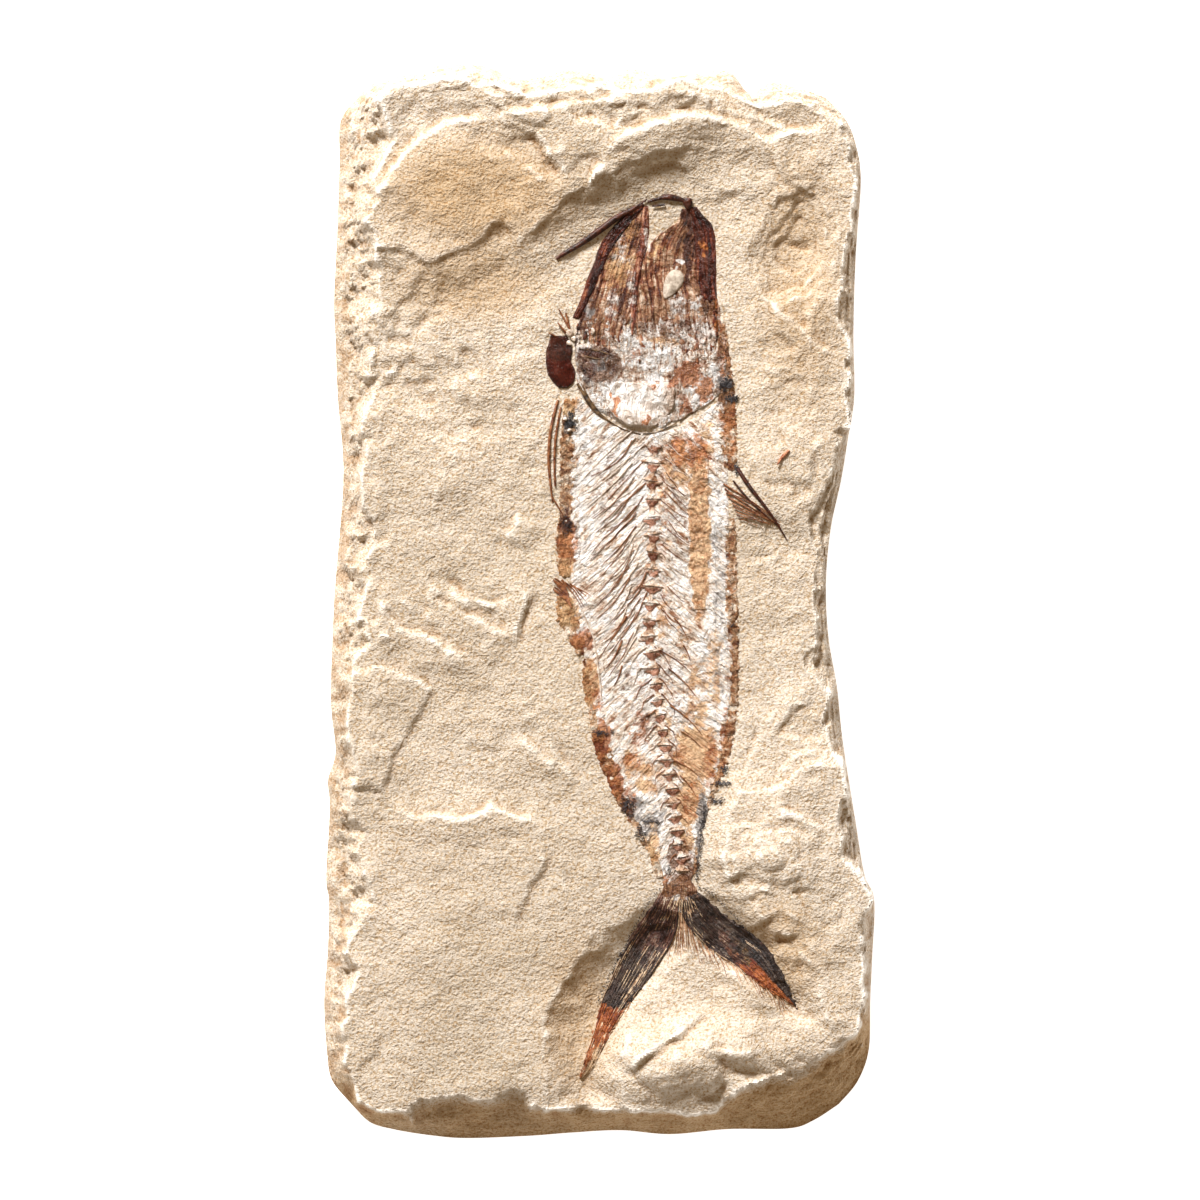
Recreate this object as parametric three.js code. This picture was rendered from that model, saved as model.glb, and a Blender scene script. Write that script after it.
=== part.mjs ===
// Fossil fish in its limestone slab, lying on a flat sawn base with the fossil's face up.
//
// The stone is one solid. Every bone, strip of skin, fin and vertebra is a solid of its own, a thin piece
// that follows the split surface of the stone under it. Millimetres, origin in the middle of the base,
// +Z up, +Y towards the fish's head and +X towards its back.
import * as THREE from "three";

// Driving dimensions.
const HALF_WIDTH = 76.8; // widest reach of the stone along X, each way
const HALF_LENGTH = 150; // and along Y
const BED_HEIGHT = 22; // the split surface that the fish lies on
const WAIST_HEIGHT = 10; // where the broken sides stand out furthest
const WAIST_WAVE = 1.6; // how much that line wanders up and down
const FOOT_HEIGHT = 4; // the broken side starts to draw in to the base here
const FOOT_INSET = 0.8;
const BASE_INSET = 2.6; // how far the sawn base is drawn in from the widest line
const COLUMNS = 30; // cells of the stone's upper face
const ROWS = 58;

const GAP = 0.35; // clear space under a fossil piece, so that it is a body of its own
const FILM = 0.7; // thickness of flattened skin
const BONE = 1.0; // thickness of a flattened bone
const UPPER = GAP + FILM + 0.45; // underside of the bones that lie on the skin

const VERTEBRAE = 27;
const FRONT_PITCH = 5.1; // spacing of the vertebrae behind the head
const REAR_PITCH = 3.7; // and at the root of the tail

// Finishes: colour, roughness.
const FINISHES = {
  limestone: [0xdfcbab, 0.95],
  dark_bone: [0x4a2418, 0.4],
  brown_bone: [0x8a5640, 0.55],
  pale_bone: [0xd6c7b8, 0.5],
  skin: [0xb79a80, 0.6],
  amber_skin: [0xb87d4e, 0.65],
  rust_skin: [0xa2663c, 0.7],
  black_fin: [0x2c2020, 0.55],
};

const root = new THREE.Group();

// ---------------------------------------------------------------------------------------------------
// Small tools
// ---------------------------------------------------------------------------------------------------

const smooth = (t) => THREE.MathUtils.smoothstep(t, 0, 1);

function addPiece(name, finish, geometry) {
  const [color, roughness] = FINISHES[finish];
  const material = new THREE.MeshStandardMaterial({ color, roughness, metalness: 0 });
  const mesh = new THREE.Mesh(geometry, material);
  mesh.name = name;
  root.add(mesh);
  return mesh;
}

function closedGeometry(points, faces) {
  const geometry = new THREE.BufferGeometry();
  geometry.setAttribute("position", new THREE.Float32BufferAttribute(points.flat(), 3));
  geometry.setIndex(faces.flat());
  geometry.computeVertexNormals();
  return geometry;
}

const curveThrough = (points) => new THREE.SplineCurve(points.map(([x, y]) => new THREE.Vector2(x, y)));

// Distance from a point to a line of points; a closed line joins its last point to its first.
function distanceTo(line, x, y, closed) {
  let nearest = Infinity;
  const count = closed ? line.length : line.length - 1;
  for (let i = 0; i < count; i++) {
    const [ax, ay] = line[i];
    const [bx, by] = line[(i + 1) % line.length];
    const dx = bx - ax;
    const dy = by - ay;
    const t = THREE.MathUtils.clamp(((x - ax) * dx + (y - ay) * dy) / (dx * dx + dy * dy), 0, 1);
    nearest = Math.min(nearest, Math.hypot(x - ax - t * dx, y - ay - t * dy));
  }
  return nearest;
}

function isInside(outline, x, y) {
  let inside = false;
  outline.forEach(([ax, ay], i) => {
    const [bx, by] = outline[(i + 1) % outline.length];
    if (ay > y !== by > y && x < ax + ((y - ay) / (by - ay)) * (bx - ax)) inside = !inside;
  });
  return inside;
}

// How far inside an outline a point lies, negative outside it.
const depthInside = (outline, x, y) => distanceTo(outline, x, y, true) * (isInside(outline, x, y) ? 1 : -1);

// ---------------------------------------------------------------------------------------------------
// The stone's outline: four broken sides, seen from above
// ---------------------------------------------------------------------------------------------------

const LEFT_SIDE = [
  [-69, -140.5], [-74.5, -134], [-76, -126], [-76.8, -112],
  [-75.8, -98], [-75.4, -84], [-76.2, -77], [-75.2, -58],
  [-75.7, -50], [-73.6, -42], [-74.9, -28], [-74.3, -6],
  [-73.6, 6], [-71.8, 27], [-71.5, 40], [-73, 57], [-73.6, 73],
  [-74, 84], [-73.2, 101], [-72.5, 122], [-72.2, 134], [-67.5, 140.5],
];
const RIGHT_SIDE = [
  [67, -140.5], [72.3, -134], [75.4, -125], [75.7, -111],
  [76.2, -100], [76.8, -83.5], [74, -76], [71.5, -61],
  [68, -39], [66.4, -24], [64, -10], [63.3, 5], [64.6, 20],
  [67.6, 34], [69.4, 45], [71.2, 57], [71, 75], [71.6, 96],
  [73, 118], [71.2, 129], [68, 135.5], [63, 140.5],
];
const FOOT_SIDE = [
  [-69, -140.5], [-64, -145.5], [-57, -147.6], [-47, -149.2],
  [-37, -150], [-20, -149.4], [-8, -148.5], [6, -147.8],
  [20, -148.9], [36, -147.5], [53, -147.3], [60, -145], [67, -140.5],
];
const HEAD_SIDE = [
  [-67.5, 140.5], [-62, 145.4], [-53, 148], [-41.5, 150],
  [-31, 149.2], [-24, 146], [-17, 146.2], [-8, 148.4],
  [3, 146.4], [9, 148.6], [19, 146.5], [28, 147.6], [36.5, 147.8],
  [42, 142], [48, 144.6], [56, 143], [63, 140.5],
];

// The edge of the upper face, inside the chipped bevel that runs round the stone.
const RIM = [
  [-62, 140], [-58, 127], [-65, 109], [-62.5, 97],
  [-63.5, 75], [-63, 50], [-64, 30], [-64.5, 5], [-68, -18],
  [-71, -37.5], [-66.5, -48], [-70, -56], [-65.5, -66],
  [-64, -80], [-69.5, -104], [-71.5, -128], [-66, -141],
  [-54.5, -143], [-51, -139.5], [-33, -137.5], [-20, -138], [-12.5, -141.5], [15, -141.5], [30.5, -143.5],
  [41.5, -136], [53, -130], [66, -126], [73, -118],
  [73.5, -84], [66, -45], [62, -25], [58.5, -17.5], [61, -5],
  [59, 14.5], [61.5, 30.5], [67, 43], [69, 57], [67.5, 66], [68.5, 100], [71, 118], [68.5, 131], [60, 138],
  [44, 139], [36, 143], [10, 143.5], [-20, 141.5], [-40, 145], [-53, 143.5],
];

// Layers of the stone that still stand above the split surface: outline, rise and width of the slope.
const LAYERS = [
  {
    // upper left, above the fish's head
    rise: 4.4,
    slope: 6,
    outline: [
      [-85, 97], [-55, 98], [-48, 94], [-38, 97], [-29.5, 104],
      [-22, 101.5], [-13, 109], [-3, 115.5], [6, 120],
      [16, 124.5], [30, 125.5], [48, 127], [62, 128],
      [62, 133], [44, 133], [30, 136], [12, 132.5], [0, 129],
      [-20, 134], [-33, 135.5], [-45, 132.5], [-55, 125.5], [-66, 114], [-85, 106],
    ],
  },
  {
    // lower left, down to the hollow beside the tail
    rise: 1.6,
    slope: 5,
    outline: [
      [-85, -53], [-59, -53.5], [-53, -59], [-36, -60], [-30, -56.5], [-17, -61.5], [-12, -68], [-8, -80],
      [-1, -93], [-7, -103], [-13.5, -113], [-15, -125], [-12, -155], [-85, -155],
    ],
  },
  {
    // leaf-shaped flake on the left
    rise: 2,
    slope: 4,
    outline: [[-80, -22], [-60, -17.5], [-46, -24], [-50.5, -32.5], [-57.5, -43.5], [-60, -53], [-80, -50]],
  },
  {
    // bank on the right of the tail
    rise: 3,
    slope: 8,
    outline: [
      [38, -53], [48, -52], [58, -46], [85, -42], [85, -122], [66, -122], [62, -112], [58, -101], [51, -93],
      [44, -87.5], [37, -82], [34, -72], [35, -62],
    ],
  },
];

// Hollows (negative) and mounds: centre, half sizes, height and turn in degrees.
const SWELLS = [
  { x: 20, y: -107, across: 42, along: 30, height: -3.2, turn: 0 }, // the bed of the tail
  { x: 24, y: -126, across: 26, along: 13, height: 3.4, turn: 12 }, // mound between the lobes
  { x: 57, y: 97, across: 15, along: 24, height: -3, turn: -25 }, // shell-shaped scoop, right of the head
  { x: -25, y: -140, across: 30, along: 6, height: -2, turn: 0 },
  { x: -52, y: 20, across: 26, along: 34, height: 0.9, turn: 10 },
  { x: -40, y: -95, across: 24, along: 30, height: 0.8, turn: 0 },
];

function swellAt({ x: cx, y: cy, across, along, height, turn }, x, y) {
  const angle = THREE.MathUtils.degToRad(turn);
  const dx = (x - cx) * Math.cos(angle) + (y - cy) * Math.sin(angle);
  const dy = (y - cy) * Math.cos(angle) - (x - cx) * Math.sin(angle);
  return height * smooth(1 - Math.hypot(dx / across, dy / along));
}

// ---------------------------------------------------------------------------------------------------
// The stone
// ---------------------------------------------------------------------------------------------------

// A grid whose lines draw closer together at both ends, where the bevels are.
const closerAtEnds = (t) => t - 0.1 * Math.sin(2 * Math.PI * t);

function stoneGrid() {
  const left = curveThrough(LEFT_SIDE);
  const right = curveThrough(RIGHT_SIDE);
  const foot = curveThrough(FOOT_SIDE);
  const head = curveThrough(HEAD_SIDE);
  const corner = [LEFT_SIDE[0], RIGHT_SIDE[0], LEFT_SIDE.at(-1), RIGHT_SIDE.at(-1)];
  const grid = [];
  for (let j = 0; j <= ROWS; j++) {
    const v = closerAtEnds(j / ROWS);
    const l = left.getPointAt(v);
    const r = right.getPointAt(v);
    for (let i = 0; i <= COLUMNS; i++) {
      const u = closerAtEnds(i / COLUMNS);
      const f = foot.getPointAt(u);
      const h = head.getPointAt(u);
      const blend = (axis, k) =>
        (1 - u) * l[axis] + u * r[axis] + (1 - v) * f[axis] + v * h[axis] -
        (1 - v) * ((1 - u) * corner[0][k] + u * corner[1][k]) -
        v * ((1 - u) * corner[2][k] + u * corner[3][k]);
      grid.push([blend("x", 0), blend("y", 1)]);
    }
  }
  return grid;
}

function faceHeight(x, y) {
  const layers = LAYERS.reduce((z, { rise, slope, outline }) => {
    return z + rise * smooth(depthInside(outline, x, y) / slope + 0.5);
  }, BED_HEIGHT);
  return SWELLS.reduce((z, swell) => z + swellAt(swell, x, y), layers);
}

const waistHeight = (x, y) => WAIST_HEIGHT + WAIST_WAVE * Math.sin(x / 9 + y / 13) * Math.cos(y / 31);

function buildStone() {
  const grid = stoneGrid();
  const at = (i, j) => j * (COLUMNS + 1) + i;
  const ring = [];
  for (let i = 0; i < COLUMNS; i++) ring.push(at(i, 0));
  for (let j = 0; j < ROWS; j++) ring.push(at(COLUMNS, j));
  for (let i = COLUMNS; i > 0; i--) ring.push(at(i, ROWS));
  for (let j = ROWS; j > 0; j--) ring.push(at(0, j));
  const outline = ring.map((k) => grid[k]);

  const points = grid.map(([x, y]) => {
    const toSide = distanceTo(outline, x, y, true);
    const toRim = Math.max(0, -depthInside(RIM, x, y));
    const climb = Math.sin((Math.PI / 2) * (toSide / (toSide + toRim + 1e-6)));
    return [x, y, THREE.MathUtils.lerp(waistHeight(x, y), faceHeight(x, y), climb)];
  });
  const faces = [];
  for (let j = 0; j < ROWS; j++) {
    for (let i = 0; i < COLUMNS; i++) {
      faces.push([at(i, j), at(i + 1, j), at(i + 1, j + 1)]);
      faces.push([at(i, j), at(i + 1, j + 1), at(i, j + 1)]);
    }
  }

  // The sides go down in two rows, drawn in along the outline's inward normals.
  let above = ring;
  for (const [z, inset] of [[FOOT_HEIGHT, FOOT_INSET], [0, BASE_INSET]]) {
    const below = ring.map((_, k) => {
      const [x, y] = outline[k];
      const [px, py] = outline[(k + ring.length - 1) % ring.length];
      const [nx, ny] = outline[(k + 1) % ring.length];
      const length = Math.hypot(nx - px, ny - py);
      points.push([x - (inset * (ny - py)) / length, y + (inset * (nx - px)) / length, z]);
      return points.length - 1;
    });
    below.forEach((corner, k) => {
      const next = (k + 1) % ring.length;
      faces.push([corner, below[next], above[next]]);
      faces.push([corner, above[next], above[k]]);
    });
    above = below;
  }
  const base = above.map((k) => new THREE.Vector2(points[k][0], points[k][1]));
  for (const [a, b, c] of THREE.ShapeUtils.triangulateShape(base, [])) {
    faces.push([above[c], above[b], above[a]]);
  }
  return { points, faces, topFaces: faces.slice(0, 2 * COLUMNS * ROWS) };
}

const stone = buildStone();
addPiece("stone_slab", "limestone", closedGeometry(stone.points, stone.faces));

// The height of the stone's faceted upper face, which every fossil piece lies on.
function stoneTop(x, y) {
  for (const [a, b, c] of stone.topFaces) {
    const [ax, ay, az] = stone.points[a];
    const [bx, by, bz] = stone.points[b];
    const [cx, cy, cz] = stone.points[c];
    if (Math.max(ax, bx, cx) < x || Math.min(ax, bx, cx) > x) continue;
    if (Math.max(ay, by, cy) < y || Math.min(ay, by, cy) > y) continue;
    const area = (bx - ax) * (cy - ay) - (cx - ax) * (by - ay);
    const p = ((bx - x) * (cy - y) - (cx - x) * (by - y)) / area;
    const q = ((cx - x) * (ay - y) - (ax - x) * (cy - y)) / area;
    if (p >= -1e-6 && q >= -1e-6 && p + q <= 1 + 1e-6) return p * az + q * bz + (1 - p - q) * cz;
  }
  throw new Error("a fossil piece reaches past the stone");
}

// ---------------------------------------------------------------------------------------------------
// Fossil pieces
// ---------------------------------------------------------------------------------------------------

// A thin sheet between two edges. Each row is [left x, left y, right x, right y, sag]: the row runs from
// the left edge to the right one and dips towards the tail by sag in its middle. Its top is crowned.
function sheet(rows, columns, underside, thickness) {
  const points = [];
  const faces = [];
  for (const [lx, ly, rx, ry, sag = 0] of rows) {
    for (let i = 0; i <= columns; i++) {
      const t = i / columns;
      const bow = 4 * t * (1 - t);
      const x = THREE.MathUtils.lerp(lx, rx, t);
      const y = THREE.MathUtils.lerp(ly, ry, t) - sag * bow;
      const low = stoneTop(x, y) + underside;
      points.push([x, y, low], [x, y, low + thickness * (0.45 + 0.55 * Math.min(1, 2 * bow))]);
    }
  }
  const at = (i, j, upper) => 2 * (j * (columns + 1) + i) + upper;
  const quad = (a, b, c, d) => faces.push([a, b, c], [a, c, d]);
  const last = rows.length - 1;
  for (let j = 0; j < last; j++) {
    for (let i = 0; i < columns; i++) {
      quad(at(i, j, 1), at(i, j + 1, 1), at(i + 1, j + 1, 1), at(i + 1, j, 1));
      quad(at(i, j, 0), at(i + 1, j, 0), at(i + 1, j + 1, 0), at(i, j + 1, 0));
    }
    quad(at(0, j, 0), at(0, j + 1, 0), at(0, j + 1, 1), at(0, j, 1));
    quad(at(columns, j, 0), at(columns, j, 1), at(columns, j + 1, 1), at(columns, j + 1, 0));
  }
  for (let i = 0; i < columns; i++) {
    quad(at(i, 0, 0), at(i, 0, 1), at(i + 1, 0, 1), at(i + 1, 0, 0));
    quad(at(i, last, 0), at(i + 1, last, 0), at(i + 1, last, 1), at(i, last, 1));
  }
  return closedGeometry(points, faces);
}

// A strip along a middle line. Each station is [x, y, width]; its rows lie square to the line.
function strip(stations, columns, underside, thickness) {
  const rows = stations.map(([x, y, width], k) => {
    const [ax, ay] = stations[Math.max(0, k - 1)];
    const [bx, by] = stations[Math.min(stations.length - 1, k + 1)];
    const length = Math.hypot(bx - ax, by - ay);
    const sideX = ((by - ay) / length) * (width / 2);
    const sideY = (-(bx - ax) / length) * (width / 2);
    return [x + sideX, y + sideY, x - sideX, y - sideY];
  });
  return sheet(rows, columns, underside, thickness);
}

function buildHead() {
  addPiece("jaw_barb", "dark_bone", strip([
    [-11.5, 95.5, 0.8], [-5.5, 99.2, 1.3], [0.5, 103.5, 1.4], [6, 107.4, 1.3], [12.6, 110.6, 1],
  ], 2, GAP, BONE));
  addPiece("lip_bone", "dark_bone", strip([
    [13.8, 111.3, 1], [18, 112.5, 1.6], [22, 112.6, 1.4],
  ], 2, GAP, BONE));
  addPiece("snout_tip", "dark_bone", strip([
    [22.8, 111.9, 1.4], [24.6, 111.2, 2.2], [26, 109.9, 1.4],
  ], 2, GAP, BONE));
  addPiece("left_jaw", "dark_bone", strip([
    [10.6, 108.4, 1], [6.8, 105, 2.4], [3.2, 98.8, 3.6],
    [0.2, 91.5, 3.2], [-2.5, 85, 2.6], [-4.8, 79.5, 2.2],
    [-6.4, 76, 1.4],
  ], 2, GAP, BONE));
  addPiece("right_jaw", "dark_bone", strip([
    [27, 108.4, 1.6], [28.7, 105, 4], [29.7, 99, 5], [30, 93, 4.6], [30.4, 86.5, 3.6],
  ], 2, GAP, BONE));
  addPiece("median_skull_bone", "brown_bone", strip([
    [13, 109, 1.4], [12.5, 100, 1.8], [11, 93.5, 2], [9, 85.5, 2.6], [7.5, 79.5, 2],
  ], 2, GAP, BONE));
  addPiece("left_cheek", "brown_bone", sheet([
    [8.2, 104.6, 11.3, 104.6], [5.8, 99.5, 11, 99.5], [3, 93.5, 9.4, 93.5], [0.3, 87, 7.4, 87],
    [-2.2, 80.5, 5.6, 80.5], [-4.6, 76, 5.4, 76],
  ], 3, GAP, FILM));
  addPiece("right_cheek", "brown_bone", sheet([
    [23, 107, 25.4, 107], [19.6, 102, 26, 101],
    [15.4, 98, 26.4, 96.5], [13, 92.5, 27, 91], [11.2, 86, 27.8, 86],
    [9.6, 80, 31.6, 80], [8.6, 76, 34.4, 76],
  ], 4, GAP, FILM));
  addPiece("eye_socket_fill", "pale_bone", strip([
    [22.6, 91.6, 2.2], [21.2, 89.6, 4.4], [19.8, 87, 4], [18.2, 84.8, 1.6],
  ], 3, UPPER, FILM));
  addPiece("head_rear_plate", "pale_bone", sheet([
    [-6.4, 75.2, 34.6, 75.2], [-6.6, 70, 34.8, 70],
    [-6.4, 65, 34.2, 65], [-3.6, 60, 31.6, 60], [1, 55.2, 27, 55.2],
    [6.5, 51.6, 22, 51.6], [11, 49.4, 17.4, 49.4],
  ], 6, GAP, FILM));
  addPiece("dark_cheek_plate", "brown_bone", sheet([
    [-4.8, 70, 6, 70], [-5, 66, 5.6, 65.5], [-2.6, 61, 4.8, 60.5], [-0.4, 58.4, 3, 58.6],
  ], 3, UPPER, FILM));
  addPiece("gill_cover", "pale_bone", sheet([
    [7.4, 61, 19.5, 60.4], [5.6, 58, 22, 57], [4.4, 55.2, 22, 53.5], [8, 52.4, 18.6, 51.4],
  ], 4, UPPER, FILM));
}

function buildShoulder() {
  addPiece("shoulder_girdle", "brown_bone", strip([
    [-5.2, 61, 1.2], [-2.2, 54.4, 1.8], [2.8, 50.8, 1.9],
    [8, 48.3, 1.7], [13.4, 47.2, 1.6], [18, 47.6, 1.6],
    [22.4, 49.4, 1.6], [26.6, 52.4, 1.4], [31, 56.6, 1.2],
  ], 2, GAP, BONE));
  addPiece("pectoral_plate", "dark_bone", sheet([
    [-13.4, 73, -8.6, 73], [-14.2, 69, -7.6, 69], [-14, 65, -7.4, 64], [-12.4, 61.4, -7.6, 60.6],
    [-10.6, 59.6, -8.4, 59],
  ], 3, GAP, BONE));
  addPiece("pectoral_spine_outer", "dark_bone", strip([
    [-11.8, 55.5, 0.7], [-13.5, 48, 0.9], [-14.1, 40, 0.9], [-13.7, 34.5, 0.8], [-12.7, 27.5, 0.5],
  ], 2, GAP, FILM));
  addPiece("pectoral_spine_inner", "dark_bone", strip([
    [-10.8, 53, 0.6], [-12, 46, 0.7], [-12.5, 39, 0.7], [-12.3, 33, 0.6],
  ], 2, GAP, FILM));
  addPiece("pelvic_fin", "brown_bone", strip([
    [-10.8, 5.5, 1.8], [-8.4, 2, 2.4], [-5.2, -2, 0.8],
  ], 2, GAP, FILM));
}

function buildBody() {
  addPiece("flank_skin", "skin", sheet([
    [-4.4, 55, 31, 52.6, 9.6], [-5, 49.5, 32, 47.5, 6], [-5.2, 44, 33, 43, 2.5], [-5.2, 37, 33.4, 37],
    [-5, 27, 33.4, 28], [-4.8, 17, 33.8, 17], [-5.2, 8, 34, 8], [-4, 1, 34.2, 0], [-2.6, -7, 34.8, -7],
    [-1.6, -14, 35.2, -14], [-0.4, -21, 35.4, -21],
    [0.4, -28, 34.6, -28], [2.6, -35, 33, -35], [4, -42, 32, -42],
    [6, -48.5, 30.8, -48.5], [8.4, -54.5, 28.8, -54.5],
    [11.4, -60.5, 27.2, -60.5], [14.8, -66.5, 25.8, -66.5],
    [18.2, -72.5, 25, -72.5], [19.6, -77.6, 24.6, -77.6],
  ], 7, GAP, FILM));
  addPiece("gut_trace", "amber_skin", strip([
    [28, 40.5, 4.6], [27.8, 30, 5.2], [28, 18, 5.4], [27.7, 6, 5], [28.2, -2.5, 5.2],
  ], 3, UPPER, FILM));
  addPiece("belly_strip_front", "rust_skin", strip([
    [-8.2, 54, 2.8], [-8.2, 47, 4], [-8, 36, 4.4], [-8, 26, 4.8], [-7.8, 17, 4.8], [-8.6, 10.5, 3.6],
  ], 2, GAP, BONE));
  addPiece("belly_strip_middle", "amber_skin", strip([
    [-9.8, -2, 2], [-7.4, -6, 5.4], [-5, -10.5, 4.6], [-3.8, -14.5, 3.2],
  ], 2, GAP, BONE));
  addPiece("belly_strip_rear", "rust_skin", strip([
    [-3.4, -17, 2.4], [-2.8, -22, 3.4], [-1.8, -28, 3.4], [-0.2, -34, 4], [1.2, -41, 4], [3.4, -47, 3.4],
    [5.4, -53, 3], [8.2, -58.5, 2.6], [11.4, -64, 2.2], [14.8, -70, 2.4], [17.2, -77, 2.2],
  ], 2, GAP, BONE));
  addPiece("back_strip_front", "rust_skin", strip([
    [34.8, 61.5, 3], [35.6, 54, 3.4], [36, 45, 4], [36.4, 37.5, 3.4],
  ], 2, GAP, BONE));
  addPiece("back_strip_middle", "rust_skin", strip([
    [36.4, 21, 3.4], [36.5, 10, 3.6], [36.8, 0, 3.6], [37.3, -10, 3.2], [37.6, -20, 2.8], [37, -29, 3.4],
  ], 2, GAP, BONE));
  addPiece("back_strip_rear", "rust_skin", strip([
    [36.6, -31, 3.6], [35.5, -38, 3.8], [33.8, -46, 3],
    [31.8, -52, 2.8], [29.8, -57.5, 2.4], [27.9, -66, 1.8],
    [26.6, -75, 1.6],
  ], 2, GAP, BONE));
}

function buildDorsalFin() {
  addPiece("dorsal_spine", "dark_bone", strip([
    [38.6, 35.4, 1.2], [42.4, 31, 1.5], [47.2, 25.6, 1.2], [52, 20, 0.5],
  ], 2, GAP, FILM));
  addPiece("dorsal_fin_rays", "dark_bone", strip([
    [35.4, 28.4, 9.4], [40, 26.2, 6.4], [44.4, 23.9, 3.6], [49.4, 21.2, 0.6],
  ], 3, GAP, FILM));
}

function hourglass(width, length) {
  const shape = new THREE.Shape();
  shape.moveTo(-width / 2, -length / 2);
  shape.lineTo(width / 2, -length / 2);
  shape.lineTo(width / 5, 0);
  shape.lineTo(width / 2, length / 2);
  shape.lineTo(-width / 2, length / 2);
  shape.lineTo(-width / 5, 0);
  return new THREE.ExtrudeGeometry(shape, { depth: BONE, bevelEnabled: false });
}

function buildBackbone() {
  const spine = curveThrough([
    [15, 43.5], [14.8, 22], [15, 8], [14, -8], [16, -24], [18, -39], [20.4, -53], [22, -66], [23.4, -78],
  ]);
  const reach = spine.getLength();
  let along = 2.5;
  for (let k = 0; k < VERTEBRAE; k++) {
    const t = k / (VERTEBRAE - 1);
    const pitch = THREE.MathUtils.lerp(FRONT_PITCH, REAR_PITCH, t);
    const middle = spine.getPointAt(along / reach);
    const heading = spine.getTangentAt(along / reach);
    const geometry = hourglass(THREE.MathUtils.lerp(3.8, 3, t), pitch - 0.9);
    geometry.rotateZ(Math.atan2(heading.y, heading.x) + Math.PI / 2);
    geometry.translate(middle.x, middle.y, stoneTop(middle.x, middle.y) + UPPER);
    addPiece("vertebra_" + String(k + 1).padStart(2, "0"), "dark_bone", geometry);
    along += pitch;
  }
}

function buildTail() {
  addPiece("tail_root_plate", "brown_bone", sheet([
    [19.2, -78.4, 25.6, -78.4], [17.6, -81, 27.4, -81], [16, -83.2, 29, -83.2],
  ], 3, GAP, FILM));
  addPiece("tail_lobe_left", "black_fin", sheet([
    [15.2, -84, 21.6, -84.4], [12, -88.5, 19.8, -92], [8.3, -94.5, 16.6, -98.6], [4, -103, 12.4, -106],
    [0.2, -110.5, 8, -112], [-1.8, -118, 4.5, -118.5], [-4, -126, 0.8, -125.5], [-5.8, -133, -3.6, -131.6],
  ], 4, GAP, FILM));
  addPiece("tail_lobe_right", "black_fin", sheet([
    [23.6, -84.4, 30, -84], [25.6, -91, 34.4, -86.4], [29.4, -96.6, 39.6, -90.2], [35, -100.4, 44.6, -94],
    [41, -104.4, 49, -98.6], [46.6, -108.4, 52, -104.4],
    [51, -111.3, 54, -109.4], [54.6, -113.8, 55.6, -113.2],
  ], 4, GAP, FILM));
  addPiece("tail_middle_rays", "brown_bone", sheet([
    [22.2, -86, 23, -86], [20.8, -92, 24.8, -92], [18, -98, 28, -98.4], [15, -104, 32, -103.4],
  ], 3, GAP, FILM));
}

buildHead();
buildShoulder();
buildBody();
buildDorsalFin();
buildBackbone();
buildTail();

const size = new THREE.Box3().setFromObject(root).getSize(new THREE.Vector3());
if (size.x > 2 * HALF_WIDTH + 0.5 || size.y > 2 * HALF_LENGTH + 0.5) {
  throw new Error("the outline is too large");
}

export default root;
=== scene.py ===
# %% [markdown]
# # A fossil fish in its limestone slab
# The real thing is one piece of pale limestone, split open along a bedding plane, with a flattened fish lying
# in the split face. The frame holds the sizes: a slab 300 mm long and 154 mm wide, and the place of every
# bone. This lesson gives each of them its surface. The stone comes first, because every fossil piece follows
# the ground that it lies on.

# %% Load the frame
import math

import bpy
import numpy as np
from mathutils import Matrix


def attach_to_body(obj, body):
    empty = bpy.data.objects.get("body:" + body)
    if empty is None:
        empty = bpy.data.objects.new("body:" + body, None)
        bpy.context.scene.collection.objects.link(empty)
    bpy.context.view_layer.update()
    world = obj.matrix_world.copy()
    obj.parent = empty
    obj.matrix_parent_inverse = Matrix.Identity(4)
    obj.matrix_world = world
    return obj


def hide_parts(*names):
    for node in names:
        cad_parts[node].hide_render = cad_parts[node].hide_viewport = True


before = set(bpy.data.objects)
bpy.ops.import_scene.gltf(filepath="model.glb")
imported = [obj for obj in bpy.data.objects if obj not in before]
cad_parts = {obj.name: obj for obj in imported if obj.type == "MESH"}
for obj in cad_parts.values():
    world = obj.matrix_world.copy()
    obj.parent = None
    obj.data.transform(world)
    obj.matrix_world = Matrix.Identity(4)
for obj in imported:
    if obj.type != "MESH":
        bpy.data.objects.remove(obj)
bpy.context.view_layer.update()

# %% [markdown]
# Lengths are written in millimetres, as a preparator would measure them, and turned to metres where a mesh
# is made. Colours are written as sRGB hex values, and one function turns them to the linear numbers that a
# shader works with.

# %% Units and colours
MM = 0.001


def linear(hex_colour):
    channels = [int(hex_colour[k:k + 2], 16) / 255 for k in (1, 3, 5)]
    return tuple(c / 12.92 if c <= 0.04045 else ((c + 0.055) / 1.055) ** 2.4 for c in channels) + (1.0,)


# %% [markdown]
# Broken stone is never smooth and never repeats, so its relief needs noise: a random slope at each corner of
# a square lattice, blended in between. Adding it to itself at half the size and half the height gives the
# roughness that a fracture has at every scale. The numbers are seeded, so each run gives the same stone.

# %% Noise
SLOPES = np.random.default_rng(7).uniform(0, 2 * math.pi, (256, 256))


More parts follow.
